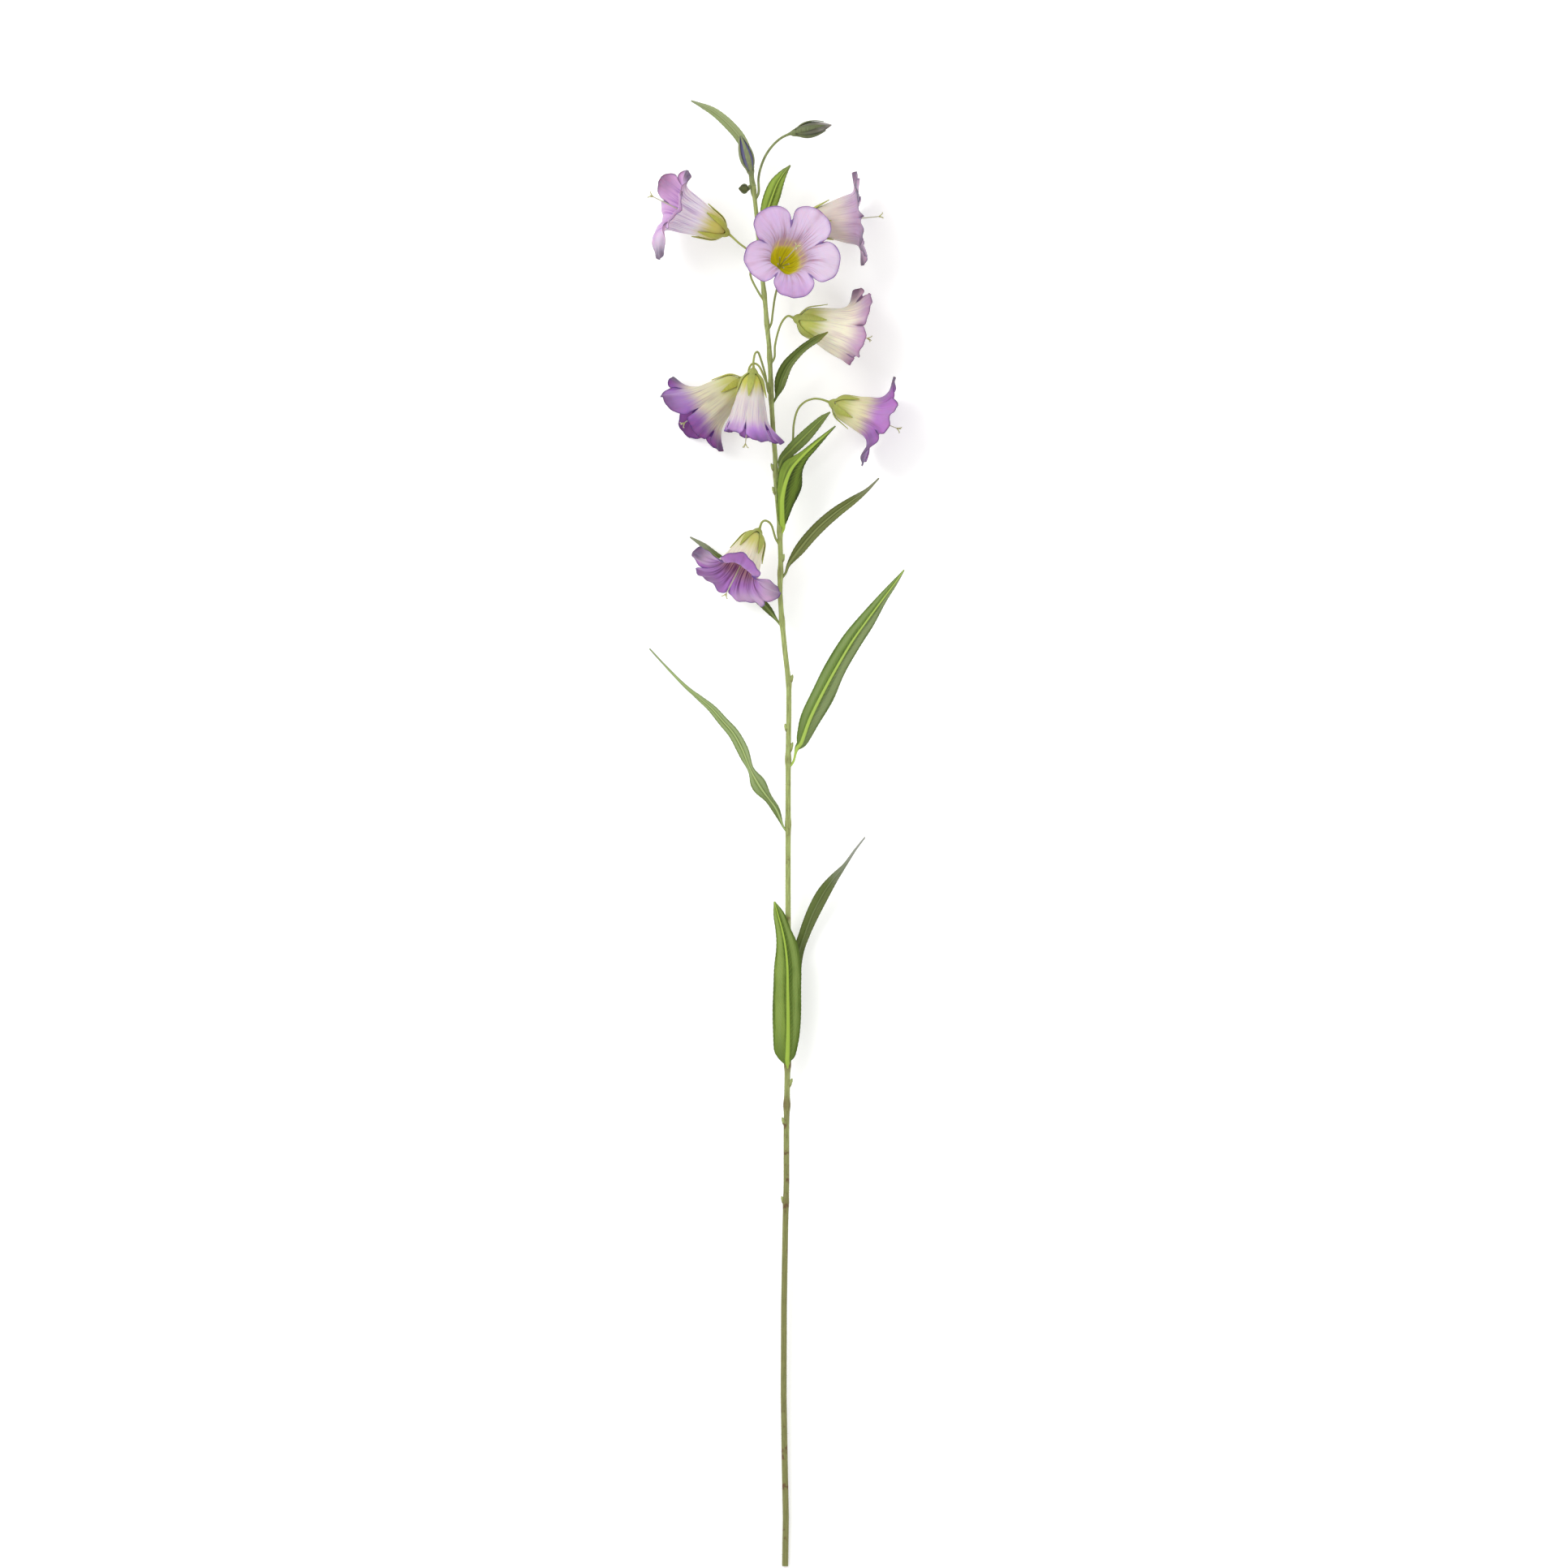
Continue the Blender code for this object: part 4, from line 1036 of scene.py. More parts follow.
@dataclass
class Hairs:
    """Short stiff hairs over a piece, made by one Geometry Nodes tree.

    Attributes:
        density: Hairs for each square metre.
        length: Metres.
        seed: For their places.
    """

    density: float = STEM_HAIR_DENSITY
    length: float = STEM_HAIR_LENGTH
    seed: int = 4

    def tree(self) -> bpy.types.NodeTree:
        """The skin, joined with a thin cone at each scattered point.

        Returns:
            The tree.
        """
        tree, make, given = geometry_group(
            "stalk_hairs", {"Density": "Float", "Length": "Float", "Seed": "Int"}
        )
        spread = make.node("GeometryNodeDistributePointsOnFaces", None, {
            "Mesh": given["Geometry"], "Density": given["Density"], "Seed": given["Seed"],
        })
        cone = make.node("GeometryNodeMeshCone", {"fill_type": "NONE"}, {
            "Vertices": 3, "Radius Top": HAIR_TIP_RADIUS, "Radius Bottom": HAIR_FOOT_RADIUS,
            "Depth": given["Length"],
        })
        size = make.node("FunctionNodeRandomValue", {"data_type": "FLOAT"}, {
            2: HAIR_SIZES[0], 3: HAIR_SIZES[1], "Seed": given["Seed"],
        })
        hair = make.node("GeometryNodeInstanceOnPoints", None, {
            "Points": spread.outputs["Points"], "Instance": cone.outputs[0],
            "Rotation": spread.outputs["Rotation"], "Scale": size.outputs[1],
        })
        both = make.node("GeometryNodeJoinGeometry")
        tree.links.new(given["Geometry"], both.inputs[0])
        tree.links.new(hair.outputs[0], both.inputs[0])
        end_tree(make, both.outputs[0], given["Skin"])
        return tree

    def scatter(self, piece: bpy.types.Object) -> None:
        """Turn a piece's mesh into the same mesh with hairs on it.

        Args:
            piece: The piece; its first material is the hairs' too.
        """
        modifier = piece.modifiers.new("Hairs", "NODES")
        modifier.node_group = self.tree()
        set_inputs(modifier, {
            "Density": self.density, "Length": self.length, "Seed": self.seed,
            "Skin": piece.data.materials[0],
        })
        haired = evaluated_mesh(piece)
        piece.modifiers.remove(modifier)
        piece.data = haired


def new_piece(
    name: str, shape: Shape, material: bpy.types.Material, node: str
) -> bpy.types.Object:
    """Make one piece from a shape, and let it stand for its CAD node.

    Args:
        name: The piece's name.
        shape: Its mesh, in place.
        material: Its finish.
        node: The CAD node that it replaces.

    Returns:
        The object.
    """
    mesh = bpy.data.meshes.new(name)
    mesh.from_pydata(shape.points.tolist(), [], shape.faces)
    for key, value in shape.values.items():
        kind, slot_name = ("FLOAT_VECTOR", "vector") if value.ndim == 2 else ("FLOAT", "value")
        layer = mesh.attributes.new(key, kind, "POINT")
        layer.data.foreach_set(slot_name, np.ascontiguousarray(value, dtype=np.float32).ravel())
    mesh.materials.append(material)
    mesh.shade_smooth()
    mesh.set_sharp_from_angle(angle=SHARP_ANGLE)
    piece = bpy.data.objects.new(name, mesh)
    bpy.context.scene.collection.objects.link(piece)
    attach(piece, "root")
    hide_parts(node)
    return piece


def stem_height(y: float) -> float:
    """The height of the stem's centre line, in millimetres, at a place in the plan."""
    return STEM_FOOT_RADIUS / MM + (CUT_Y - y) * PIXEL * math.tan(STEM_RISE) / MM


def stem_radius(y: float) -> float:
    """The stem's radius, with its swollen joints.

    Args:
        y: A place in the plan.

    Returns:
        Metres.
    """
    top = STEM_ROUTE[-1][1]
    along = min(max((y - top) / (CUT_Y - top), 0.0), 1.0)
    radius = STEM_TOP_RADIUS + (STEM_FOOT_RADIUS - STEM_TOP_RADIUS) * along ** 0.6
    for place, extra in STEM_JOINTS:
        radius += extra * MM * math.exp(-(((y - place) / JOINT_SPREAD) ** 2))
    return radius


def stem_centre(y: float) -> Vector:
    """The stem's centre at a place in the plan, read from its route.

    Args:
        y: A place in the plan.

    Returns:
        The point in metres.
    """
    ys = [place for _, place in reversed(STEM_ROUTE)]
    xs = [place for place, _ in reversed(STEM_ROUTE)]
    return plan(float(np.interp(y, ys, xs)), y, stem_height(y))


def rooted(y: float, direction: Plan) -> list[Vector]:
    """Where a stalk or leaf leaves the stem: a point inside it, lower down, and one beside it.

    Args:
        y: Where it springs, in the plan.
        direction: Which way it leaves.

    Returns:
        The two points.
    """
    across = Vector((direction[0], 0, direction[2])).normalized()
    beside = stem_radius(y) + SEAT_GAP + SPRING_LEAN + SPRING_REACH
    return [stem_centre(y + ROOT_DROP), stem_centre(y) + across * beside]


@dataclass
class Stem:
    """The stalk from its cut end to its fork, with its joints, scars and hairs."""

    finish: StalkFinish
    step: float = 3.5
    tubes: PathTubes = field(default_factory=lambda: PathTubes(sides=18))

    def shape(self, skin: bpy.types.Material) -> Shape:
        """The stem's tube and its small scars.

        Args:
            skin: Their material.

        Returns:
            One shape, with the value worn at its joints.
        """
        top = STEM_ROUTE[-1][1]
        places = np.linspace(CUT_Y, top, round((CUT_Y - top) / self.step))
        paths = [([stem_centre(y) for y in places], [stem_radius(y) for y in places])]
        for y, out, forward, length in STEM_NUBS:
            outward = Vector((out, forward, 0.15)).normalized()
            reach = stem_radius(y) + length * MM
            spots = [stem_centre(y + NUB_RISE * (1 - 2 * part)) + outward * reach * part
                     for part in NUB_SHARES]
            paths.append((spots, [radius * MM for radius in NUB_RADII]))
        shape = self.tubes.grow(paths, skin)
        places = PLAN_MIDDLE_Y - shape.points[:, 1] / PIXEL
        worn = sum(size * np.exp(-((places - y) / WORN_SPREAD) ** 2) for y, size in STEM_JOINTS)
        low = np.interp(places, WORN_FROM, WORN_SHARES)
        shape.values["worn"] = worn * low
        return shape

    def build(self, group: bpy.types.NodeTree) -> bpy.types.Object:
        """The dressed stem.

        Args:
            group: The plant skin's pattern.

        Returns:
            The piece.
        """
        material = self.finish.material("stem_skin", group)
        piece = new_piece("stem_skin", self.shape(material), material, "main_stem")
        Hairs().scatter(piece)
        return piece


@dataclass
class Leaf:
    """One leaf on a short petiole: a waved blade folded along its raised rib.

    Attributes:
        name: The CAD node's name.
        spring: Its place on the stem and its first direction.
        fold: Degrees that each half folds up.
        stations: Plan x, plan y, height, left and right half width in pixels, roll in degrees.
        finish: Its greens.
    """

    name: str
    spring: Spring
    fold: float
    stations: tuple[tuple[float, ...], ...]
    finish: LeafFinish

    def shape(self) -> Shape:
        """The blade's closed mesh.

        Returns:
            The shape, with the values that the leaf's pattern reads.
        """
        fold = math.tan(math.radians(self.fold))
        ribs = rooted(*self.spring) + [plan(x, y, h) for x, y, h, *_ in self.stations]
        first_roll = self.stations[0][5]
        sizes = [Vector((PETIOLE, PETIOLE, first_roll))] * 2
        sizes += [Vector(station[3:]) for station in self.stations]
        waves = round((len(self.stations) + SPRING_POINTS) * LEAF_ROWS_PER_STATION) - 1
        places = even_places(ribs, LEAF_ROWS)
        spots = [smooth_point(ribs, place) for place in places]
        widths = softened(np.array([smooth_point(sizes, place) for place in places]), 3)
        run = np.array([(after - before).length for before, after in zip(spots, spots[1:])])
        run = np.concatenate([[0.0], np.cumsum(run)])
        phase = sum(ord(letter) for letter in self.name)
        columns = np.linspace(-1.0, 1.0, LEAF_COLUMNS + 1)
        grid = np.zeros((len(spots), len(columns), 3))
        sideways_mm = np.zeros(grid.shape[:2])
        for index, (rib, (left, right, tilt)) in enumerate(zip(spots, widths)):
            along = spots[min(index + 1, len(spots) - 1)] - spots[max(index - 1, 0)]
            flat = Vector((-along.y, along.x, 0)).normalized()
            if flat.length < 0.5:
                flat = Vector((-1, 0, 0))
            up = along.cross(flat).normalized() * -1.0
            roll = math.radians(tilt)
            leftwards = flat * math.cos(roll) + up * math.sin(roll)
            facing = up * math.cos(roll) - flat * math.sin(roll)
            ripple = waves * run[index] / run[-1]
            for number, column in enumerate(columns):
                half = left if column < 0 else right
                tooth = TOOTH_DEPTH * (1 - abs((run[index] / MM / TOOTH_PITCH_MM) % 1 - 0.5) * 2)
                reach = max(half, LEAST_HALF) * PIXEL * abs(column)
                if half > TOOTHED_FROM:
                    reach += tooth * abs(column) ** 6
                wave = LEAF_WAVE * math.sin(1.9 * ripple + phase + column) * abs(column) ** 2
                wave *= min(half / 6.0, 1.0)
                sideways = leftwards if column < 0 else -leftwards
                curl = reach * fold * (1.1 - 0.2 * abs(column))
                grid[index, number] = rib + sideways * reach + facing * (curl + wave)
                sideways_mm[index, number] = reach / MM * math.copysign(1, column)
        grid[..., 2] = np.maximum(grid[..., 2], LEAF_LIE)
        across = np.broadcast_to(columns, grid.shape[:2])
        rib_share = np.exp(-((sideways_mm / LEAF_RIB_SPREAD_MM) ** 2))
        edge = np.minimum((1 - np.abs(across)) * np.abs(sideways_mm[:, -1:]), 1.0)
        thickness = LEAF_THICKNESS * (0.55 + 0.45 * np.minimum(edge * 2, 1)) + LEAF_RIB_RISE * rib_share
        values = {
            "along": np.broadcast_to(run[:, None] / run[-1], across.shape),
            "across": across,
            "margin": edge,
            "grain": np.stack(
                [sideways_mm, np.broadcast_to(run[:, None] / MM, across.shape), 0 * across], -1
            ),
        }
        return blade(grid, thickness, values)

    def build(self, group: bpy.types.NodeTree) -> bpy.types.Object:
        """The dressed leaf."""
        material = self.finish.material(self.name + "_finish", group)
        return new_piece(self.name + "_blade", self.shape(), material, self.name)


class Flower:
    """A bell or a bud: a place and an axis, with a stalk, a cup and sepals under it."""

    hug: float = SEPAL_HUG
    name: str
    greens: StalkFinish
    roll_angle: float
    sepal_length: float
    stalk: list[Vector]

    def aim(self, foot: Vector, rim: Vector) -> None:
        """Set the flower's foot, and its axis towards the rim's centre or the tip.

        Args:
            foot: Where its stalk meets its cup.
            rim: The point that its axis passes through.
        """
        self.foot = foot
        self.axis = (rim - foot).normalized()
        up = Vector((0, 0, 1)) if abs(self.axis.z) < 0.8 else Vector((0, 1, 0))
        self.up = (up - self.axis * up.dot(self.axis)).normalized()
        self.side = self.axis.cross(self.up)

    def put(self, radial: np.ndarray, axial: np.ndarray, azimuth: np.ndarray) -> np.ndarray:
        """Points in space from radii, places along the axis and azimuths.

        Args:
            radial: Distances from the axis.
            axial: Distances from the foot, along the axis.
            azimuth: Turns round the axis, in radians.

        Returns:
            One point for each.
        """
        radial, axial, azimuth = np.broadcast_arrays(radial, axial, azimuth)
        out = np.cos(azimuth)[..., None] * np.array(self.up)
        out = out + np.sin(azimuth)[..., None] * np.array(self.side)
        return np.array(self.foot) + axial[..., None] * np.array(self.axis) + out * radial[..., None]

    def cup(self, height: float, radius: float) -> Shape:
        """The ridged green cup.

        Args:
            height: Metres along the axis.
            radius: Its radius at the top.

        Returns:
            The cup's closed mesh.
        """
        along = np.linspace(0, 1, CUP_ROWS)[:, None]
        turn = np.linspace(0, 2 * math.pi, CUP_SIDES, endpoint=False)[None, :]
        share = np.interp(along, CUP_PARTS, CUP_SHARES)
        ridge = 1 + CUP_RIDGE_SHARE * np.cos(CUP_RIDGES * turn) * np.sin(math.pi * along)
        rings = self.put(radius * share * ridge, height * along, turn)
        tones = np.broadcast_to(STALK_TONES + CUP_TONES * along, (CUP_ROWS, CUP_SIDES))
        return turned(rings, {"along": tones})

    def sepal(self, azimuth: float, height: float, radius: float, half: float, lift: float) -> Shape:
        """One narrow pointed sepal that hugs the flower's outside, rooted in the cup.

        Args:
            azimuth: Where it stands round the axis.
            height: The cup's height.
            radius: The cup's radius.
            half: Half of the sepal's greatest width.
            lift: How far its tip stands off, in millimetres.

        Returns:
            The sepal's closed mesh.
        """
        columns = np.linspace(-1, 1, SEPAL_COLUMNS)
        offset = self.hug + SEPAL_THICKNESS / 2
        parts = np.linspace(0, 1, SEPAL_ROWS)
        turn = azimuth + columns * half * SEPAL_FOOT_SPREAD / radius
        grid = [self.put(radius * SEPAL_FOOT_RADIUS, height * SEPAL_FOOT_HEIGHT, turn)]
        for part in parts:
            radial, axial, slope = self.skin(part * self.sepal_length)
            stand = offset + lift * part * part * MM
            radial += stand * math.cos(slope)
            axial -= stand * math.sin(slope)
            swell = SEPAL_FOOT_WIDTH + (1 - SEPAL_FOOT_WIDTH) * ease(part / 0.3)
            width = half * max(swell * math.cos(part * math.pi / 2) ** 0.8, 0.1)
            keel = KEEL_RISE * (1 - columns ** 2) * (1 - part)
            turn = azimuth + columns * width / max(radial, MM)
            grid.append(self.put(radial + keel, np.full(len(columns), axial), turn))
        grid = np.array(grid)
        tones = np.concatenate([[SEPAL_TONES], SEPAL_TONES + (1 - SEPAL_TONES) * parts])
        along = tones[:, None] * np.ones(len(columns))
        return blade(grid, np.full(grid.shape[:2], SEPAL_THICKNESS), {"along": along})

    def green_parts(self, tubes: PathTubes, sizes: "CalyxSizes", skin: bpy.types.Material) -> Shape:
        """The stalk, the cup and the sepals as one shape.

        Args:
            tubes: What grows the stalk.
            sizes: The sizes of the green parts.
            skin: Their material.

        Returns:
            The one shape.
        """
        ends = [self.foot, self.foot + self.axis * sizes.height * STALK_IN_CUP]
        route = smooth_route(self.stalk + ends, STALK_ROWS * len(self.stalk))
        low, high = STALK_SWELL_SHARES
        radii = []
        for point in route:
            near = math.exp(-(point - route[0]).length / STALK_SWELL)
            far = math.exp(-(point - route[-1]).length / STALK_SWELL)
            radii.append(sizes.stalk_radius * (1 + low * near + high * far))
        stalk = tubes.grow([(route, radii)], skin)
        stalk.values["along"] = stalk.values["along"] * STALK_TONES
        shapes = [stalk, self.cup(sizes.height, sizes.radius)]
        for number, lift in enumerate(sizes.lifts):
            azimuth = self.roll_angle + 2 * math.pi * (number + 0.5) / len(sizes.lifts)
            shapes.append(self.sepal(azimuth, sizes.height, sizes.radius, sizes.half_width, lift))
        return join(shapes)

    def build_greens(
        self, group: bpy.types.NodeTree, tubes: PathTubes, sizes: "CalyxSizes"
    ) -> bpy.types.Object:
        """The dressed stalk, cup and sepals.

        Args:
            group: The plant skin's pattern.
            tubes: What grows the stalk.
            sizes: The sizes of the green parts.

        Returns:
            The piece.
        """
        greens = self.greens.material(self.name + "_green_finish", group)
        shape = self.green_parts(tubes, sizes, greens)
        return new_piece(self.name + "_greens", shape, greens, self.name + "_calyx")


@dataclass(frozen=True)
class CalyxSizes:
    """The sizes of a flower's green parts, in metres; the lifts are in millimetres."""

    height: float = CUP_HEIGHT
    radius: float = CUP_RADIUS
    half_width: float = SEPAL_HALF_WIDTH
    stalk_radius: float = STALK_RADIUS
    lifts: tuple[float, ...] = SEPAL_LIFTS


@dataclass
class Bell(Flower):
    """An open bloom.

    Attributes:
        name: The start of its CAD nodes' names.
        base: Where its stalk meets its cup, in the plan.
        rim: The middle of its mouth, in the plan.
        roll: Degrees that its first lobe is turned from the top of its axis.
        slopes: How far each lobe opens, in degrees from the axis.
        reaches: How far each lobe reaches, as a share of the usual reach.
        spread: How wide it is, as a share of the usual width.
        flare: Where along a petal its flare starts and ends, in millimetres.
        spring: Where its stalk springs and its first direction.
        passes: Plan points that the stalk passes.
        tones: How deep each lobe's colour is, from pale at -1 to deep at 1.
        dusks: How dark each lobe's tip is, 0 to 1.
        slot: The record's slot for its petals; not used.
        finish: Its petals' colours.
        greens: Its calyx's colours.
    """

    name: str
    base: Plan
    rim: Plan
    roll: float
    slopes: tuple[float, ...]
    reaches: tuple[float, ...]
    spread: float
    flare: tuple[float, float]
    spring: Spring
    passes: tuple[Plan, ...]
    tones: tuple[float, ...]
    dusks: tuple[float, ...]
    slot: Slot
    finish: PetalFinish
    greens: StalkFinish
    sepal_length: float = SEPAL_LENGTH

    def __post_init__(self) -> None:
        """Aim the bloom, and stretch its path to the depth in the plan."""
        self.aim(plan(*self.base), plan(*self.rim))
        self.roll_angle = math.radians(self.roll)
        self.depth = (plan(*self.rim) - plan(*self.base)).length - CUP_HEIGHT - SEAT_GAP
        self.stalk = rooted(*self.spring) + [plan(*point) for point in self.passes]
        self.stretch = 1.0
        rim_axial = self.path(SLOPE_FLARE, PATH_NOTCH)[-1][1]
        self.stretch = self.depth / (rim_axial - CUP_HEIGHT - SEAT_GAP)

    def path(self, slope_end: float, length: float) -> list[tuple[float, float, float]]:
        """Radius, place along the axis and slope, stepwise up one petal.

        Args:
            slope_end: The petal's slope past its flare, in radians.
            length: How far it runs, in metres.

        Returns:
            One triple for each step.
        """
        step = length / PATH_STEPS
        start, end = self.flare[0] * MM, self.flare[1] * MM
        radial, axial = COROLLA_FOOT_RADIUS, CUP_HEIGHT + SEAT_GAP
        points = []
        for index in range(PATH_STEPS + 1):
            along = index * step
            slope = SLOPE_TUBE + (SLOPE_FOOT - SLOPE_TUBE) * (1 - ease(along / PATH_FOOT))
            slope += (slope_end - SLOPE_TUBE) * ease((along - start) / (end - start))
            points.append((radial, axial, slope))
            radial += math.sin(slope) * step * self.spread
            axial += math.cos(slope) * step * self.stretch
        return points

    def skin(self, along: float) -> tuple[float, float, float]:
        """Radius, place along the axis and slope of the tube's outside at a path length.

        Args:
            along: Metres from the petals' foot.

        Returns:
            The three values there.
        """
        steps = np.array(self.path(SLOPE_FLARE, PATH_NOTCH))
        place = min(along / PATH_NOTCH * PATH_STEPS, PATH_STEPS)
        return tuple(float(np.interp(place, range(PATH_STEPS + 1), steps[:, k])) for k in range(3))

    def corolla(self) -> Shape:
        """The petals' closed double skin, with the values that their finish reads.

        Returns:
            The shape.
        """
        spots = -0.5 * np.cos(np.linspace(0, math.pi, LOBE_COLUMNS, endpoint=False))
        lobes = np.repeat(np.arange(LOBES), LOBE_COLUMNS)
        offsets = np.tile(spots, LOBES)
        parts = np.linspace(0, 1, PETAL_ROWS)
        azimuths = self.roll_angle + LOBE_ARC * (lobes + offsets)
        grid = np.zeros((PETAL_ROWS, len(lobes), 3))
        tones = np.zeros(len(lobes))
        rises = np.zeros(len(lobes))
        for column, (lobe, offset) in enumerate(zip(lobes, offsets)):
            other = (lobe + (1 if offset > 0 else -1)) % LOBES
            share = 0.5 * ease((abs(offset) - 0.2) / 0.3)
            slope = math.radians(self.slopes[lobe] * (1 - share) + self.slopes[other] * share)
            reach = self.reaches[lobe] * (1 - share) + self.reaches[other] * share
            rises[column] = max(1.0 - abs(2 * offset) ** 2.4, 0.0) ** 0.55 * reach
            tones[column] = self.tones[lobe] * (1 - share) + self.tones[other] * share
            length = PATH_NOTCH + LOBE_REACH * rises[column]
            steps = np.array(self.path(slope - SLOPE_SIDE * (2 * offset) ** 2, length))
            places = parts * PATH_STEPS
            radial = np.interp(places, range(PATH_STEPS + 1), steps[:, 0])
            axial = np.interp(places, range(PATH_STEPS + 1), steps[:, 1])
            grid[:, column] = self.put(radial, axial, azimuths[column])
        normals = grid_normals(grid, True)
        open_part = ease((parts - 0.12) / 0.5)[:, None]
        rib = RIB_RISE * np.cos(2 * math.pi * offsets) * open_part
        crease = CREASE_RISE * np.exp(-((offsets / CREASE_SPREAD) ** 2)) * open_part
        lip = ease((parts - LIP_START) / (1 - LIP_START))[:, None] ** 1.5
        waves = np.sin(2 * math.pi * (2.0 * offsets) + 2.3 * lobes + 0.7)
        waves = waves + 0.6 * np.sin(2 * math.pi * (4.3 * offsets) + 4.1 * lobes)
        pucker = np.sin(8.0 * parts[:, None] + 2 * math.pi * 1.5 * offsets + 2.6 * lobes)
        pucker = PUCKER_RISE * pucker * open_part
        lip_wave = LIP_RISE * lip * waves
        grid = grid + normals * (rib + crease + pucker + lip_wave)[..., None]
        thin = PETAL_THICKNESS * (1 - 0.5 * lip)
        inner = grid - grid_normals(grid, True) * (thin * np.ones(len(lobes)))[..., None]
        whole = (PATH_NOTCH + LOBE_REACH * rises) / (PATH_NOTCH + LOBE_REACH)
        along = parts[:, None] * whole
        metres = (PATH_NOTCH + LOBE_REACH * rises) * (1 - parts[:, None])
        below = (1 - ease((parts - 0.8) / 0.1))[:, None] * NOTCH_DEPTH_MM * MM
        beside = (0.5 - np.abs(offsets)) * LOBE_BREADTH_MM * MM + below
        margin = np.minimum(np.minimum(metres, beside) / RIM_WIDTH, 1.0)
        grain = round_grain(azimuths, parts)
        dusk = np.array(self.dusks)[lobes] * ease((parts[:, None] - DUSK_START) / 0.22)
        dusk = dusk * (1 - ease((np.abs(offsets) - 0.16) / 0.26))
        values = {
            "along": along, "margin": margin, "grain": grain, "dusk": dusk,
            "tone": np.broadcast_to(tones, along.shape),
            "across": np.broadcast_to(offsets, along.shape),
        }
        return self.close_cup(grid, inner, values)

    def close_cup(self, outer: np.ndarray, inner: np.ndarray, values: Values) -> Shape:
        """A closed double skin from its two faces, with a floor at the foot.

        Args:
            outer: The outer face, rows by columns by 3.
            inner: The inner face, the same.
            values: The finish's values on the grid.

        Returns:
            The closed shape.
        """
        rows, columns = outer.shape[:2]
        count = rows * columns
        points = np.concatenate([outer.reshape(-1, 3), inner.reshape(-1, 3)])
        points[:, 2] = np.maximum(points[:, 2], LIE_HEIGHT)
        faces = strip_faces(rows, columns, True, 0, False)
        faces += strip_faces(rows, columns, True, count, True)
        last = (rows - 1) * columns
        floor = len(points)
        heights = (CUP_HEIGHT + SEAT_GAP, CUP_HEIGHT + SEAT_GAP + PETAL_THICKNESS)
        points = np.concatenate([points, [self.foot + self.axis * height for height in heights]])
        for column in range(columns):
            after = (column + 1) % columns
            faces.append((last + after, last + after + count, last + column + count, last + column))
            faces.append((after, column, floor))
            faces.append((column + count, after + count, floor + 1))
        flat = {}
        for name, value in values.items():
            rowed = np.array(value).reshape(count, *value.shape[2:])
            flat[name] = np.concatenate([rowed, rowed, rowed[:2]])
        flat["inside"] = np.concatenate(
            [np.repeat([Skin.OUTER.value, Skin.INNER.value], count), [0.0, 1.0]]
        )
        return Shape(points, faces, flat)

    def pistil(self, tubes: PathTubes, skin: bpy.types.Material) -> Shape:
        """The style with its three-parted stigma, and the stamens round its foot.

        Args:
            tubes: What grows them.
            skin: Their material.

        Returns:
            One shape.
        """
        start = CUP_HEIGHT + SEAT_GAP + CAD_PETAL_THICKNESS + SEAT_GAP
        end = CUP_HEIGHT + self.depth + STYLE_PAST_MOUTH
        places = np.linspace(start, end, STYLE_ROWS)
        swell_end, thin_start = STYLE_SWELL
        marks = (start, start + swell_end, start + thin_start, end)
        foot = np.interp(places, marks, STYLE_RADII)
        steps = np.linspace(0, 1, ARM_ROWS)
        style = [Vector(self.put(0.0, place, 0.0)) for place in places]
        paths = [(style, list(foot * MM))]
        for number in range(STIGMA_ARMS):
            azimuth = self.roll_angle + 2 * math.pi * number / STIGMA_ARMS
            radial = STIGMA_REACH * np.sin(steps * math.pi / 2)
            axial = end - ARM_DROP + ARM_RISE * np.sin(steps * 2.2) ** 0.9
            arm = [Vector(point) for point in self.put(radial, axial, azimuth)]
            paths.append((arm, list(np.linspace(*ARM_RADII, ARM_ROWS) * MM)))
        for number in range(LOBES):
            azimuth = self.roll_angle + LOBE_ARC * number
            radial = STAMEN_FOOT + (STAMEN_LEAN - STAMEN_FOOT) * steps
            axial = start + (STAMEN_START_MM + STAMEN_LENGTH_MM * steps) * MM
            stamen = [Vector(point) for point in self.put(radial, axial, azimuth)]
            swell = np.where(steps < 0.5, *STAMEN_RADII) * MM
            paths.append((stamen, list(swell)))
        return tubes.grow(paths, skin)

    def build(self, groups: dict[str, bpy.types.NodeTree], tubes: PathTubes) -> None:
        """The dressed petals, calyx and pistil.

        Args:
            groups: The pattern groups.
            tubes: What grows the stalk and the pistil.
        """
        petals = self.finish.material(self.name + "_petal_finish", groups["petal"])
        new_piece(self.name + "_corolla", self.corolla(), petals, self.name + "_petals")
        calyx = self.build_greens(groups["skin"], tubes, CalyxSizes())
        Hairs(CALYX_HAIR_DENSITY, CALYX_HAIR_LENGTH).scatter(calyx)
        pale = PISTIL_FINISH.material(self.name + "_pistil_finish", groups["skin"])
        style = self.pistil(tubes, pale)
        new_piece(self.name + "_style", style, pale, self.name + "_pistil")


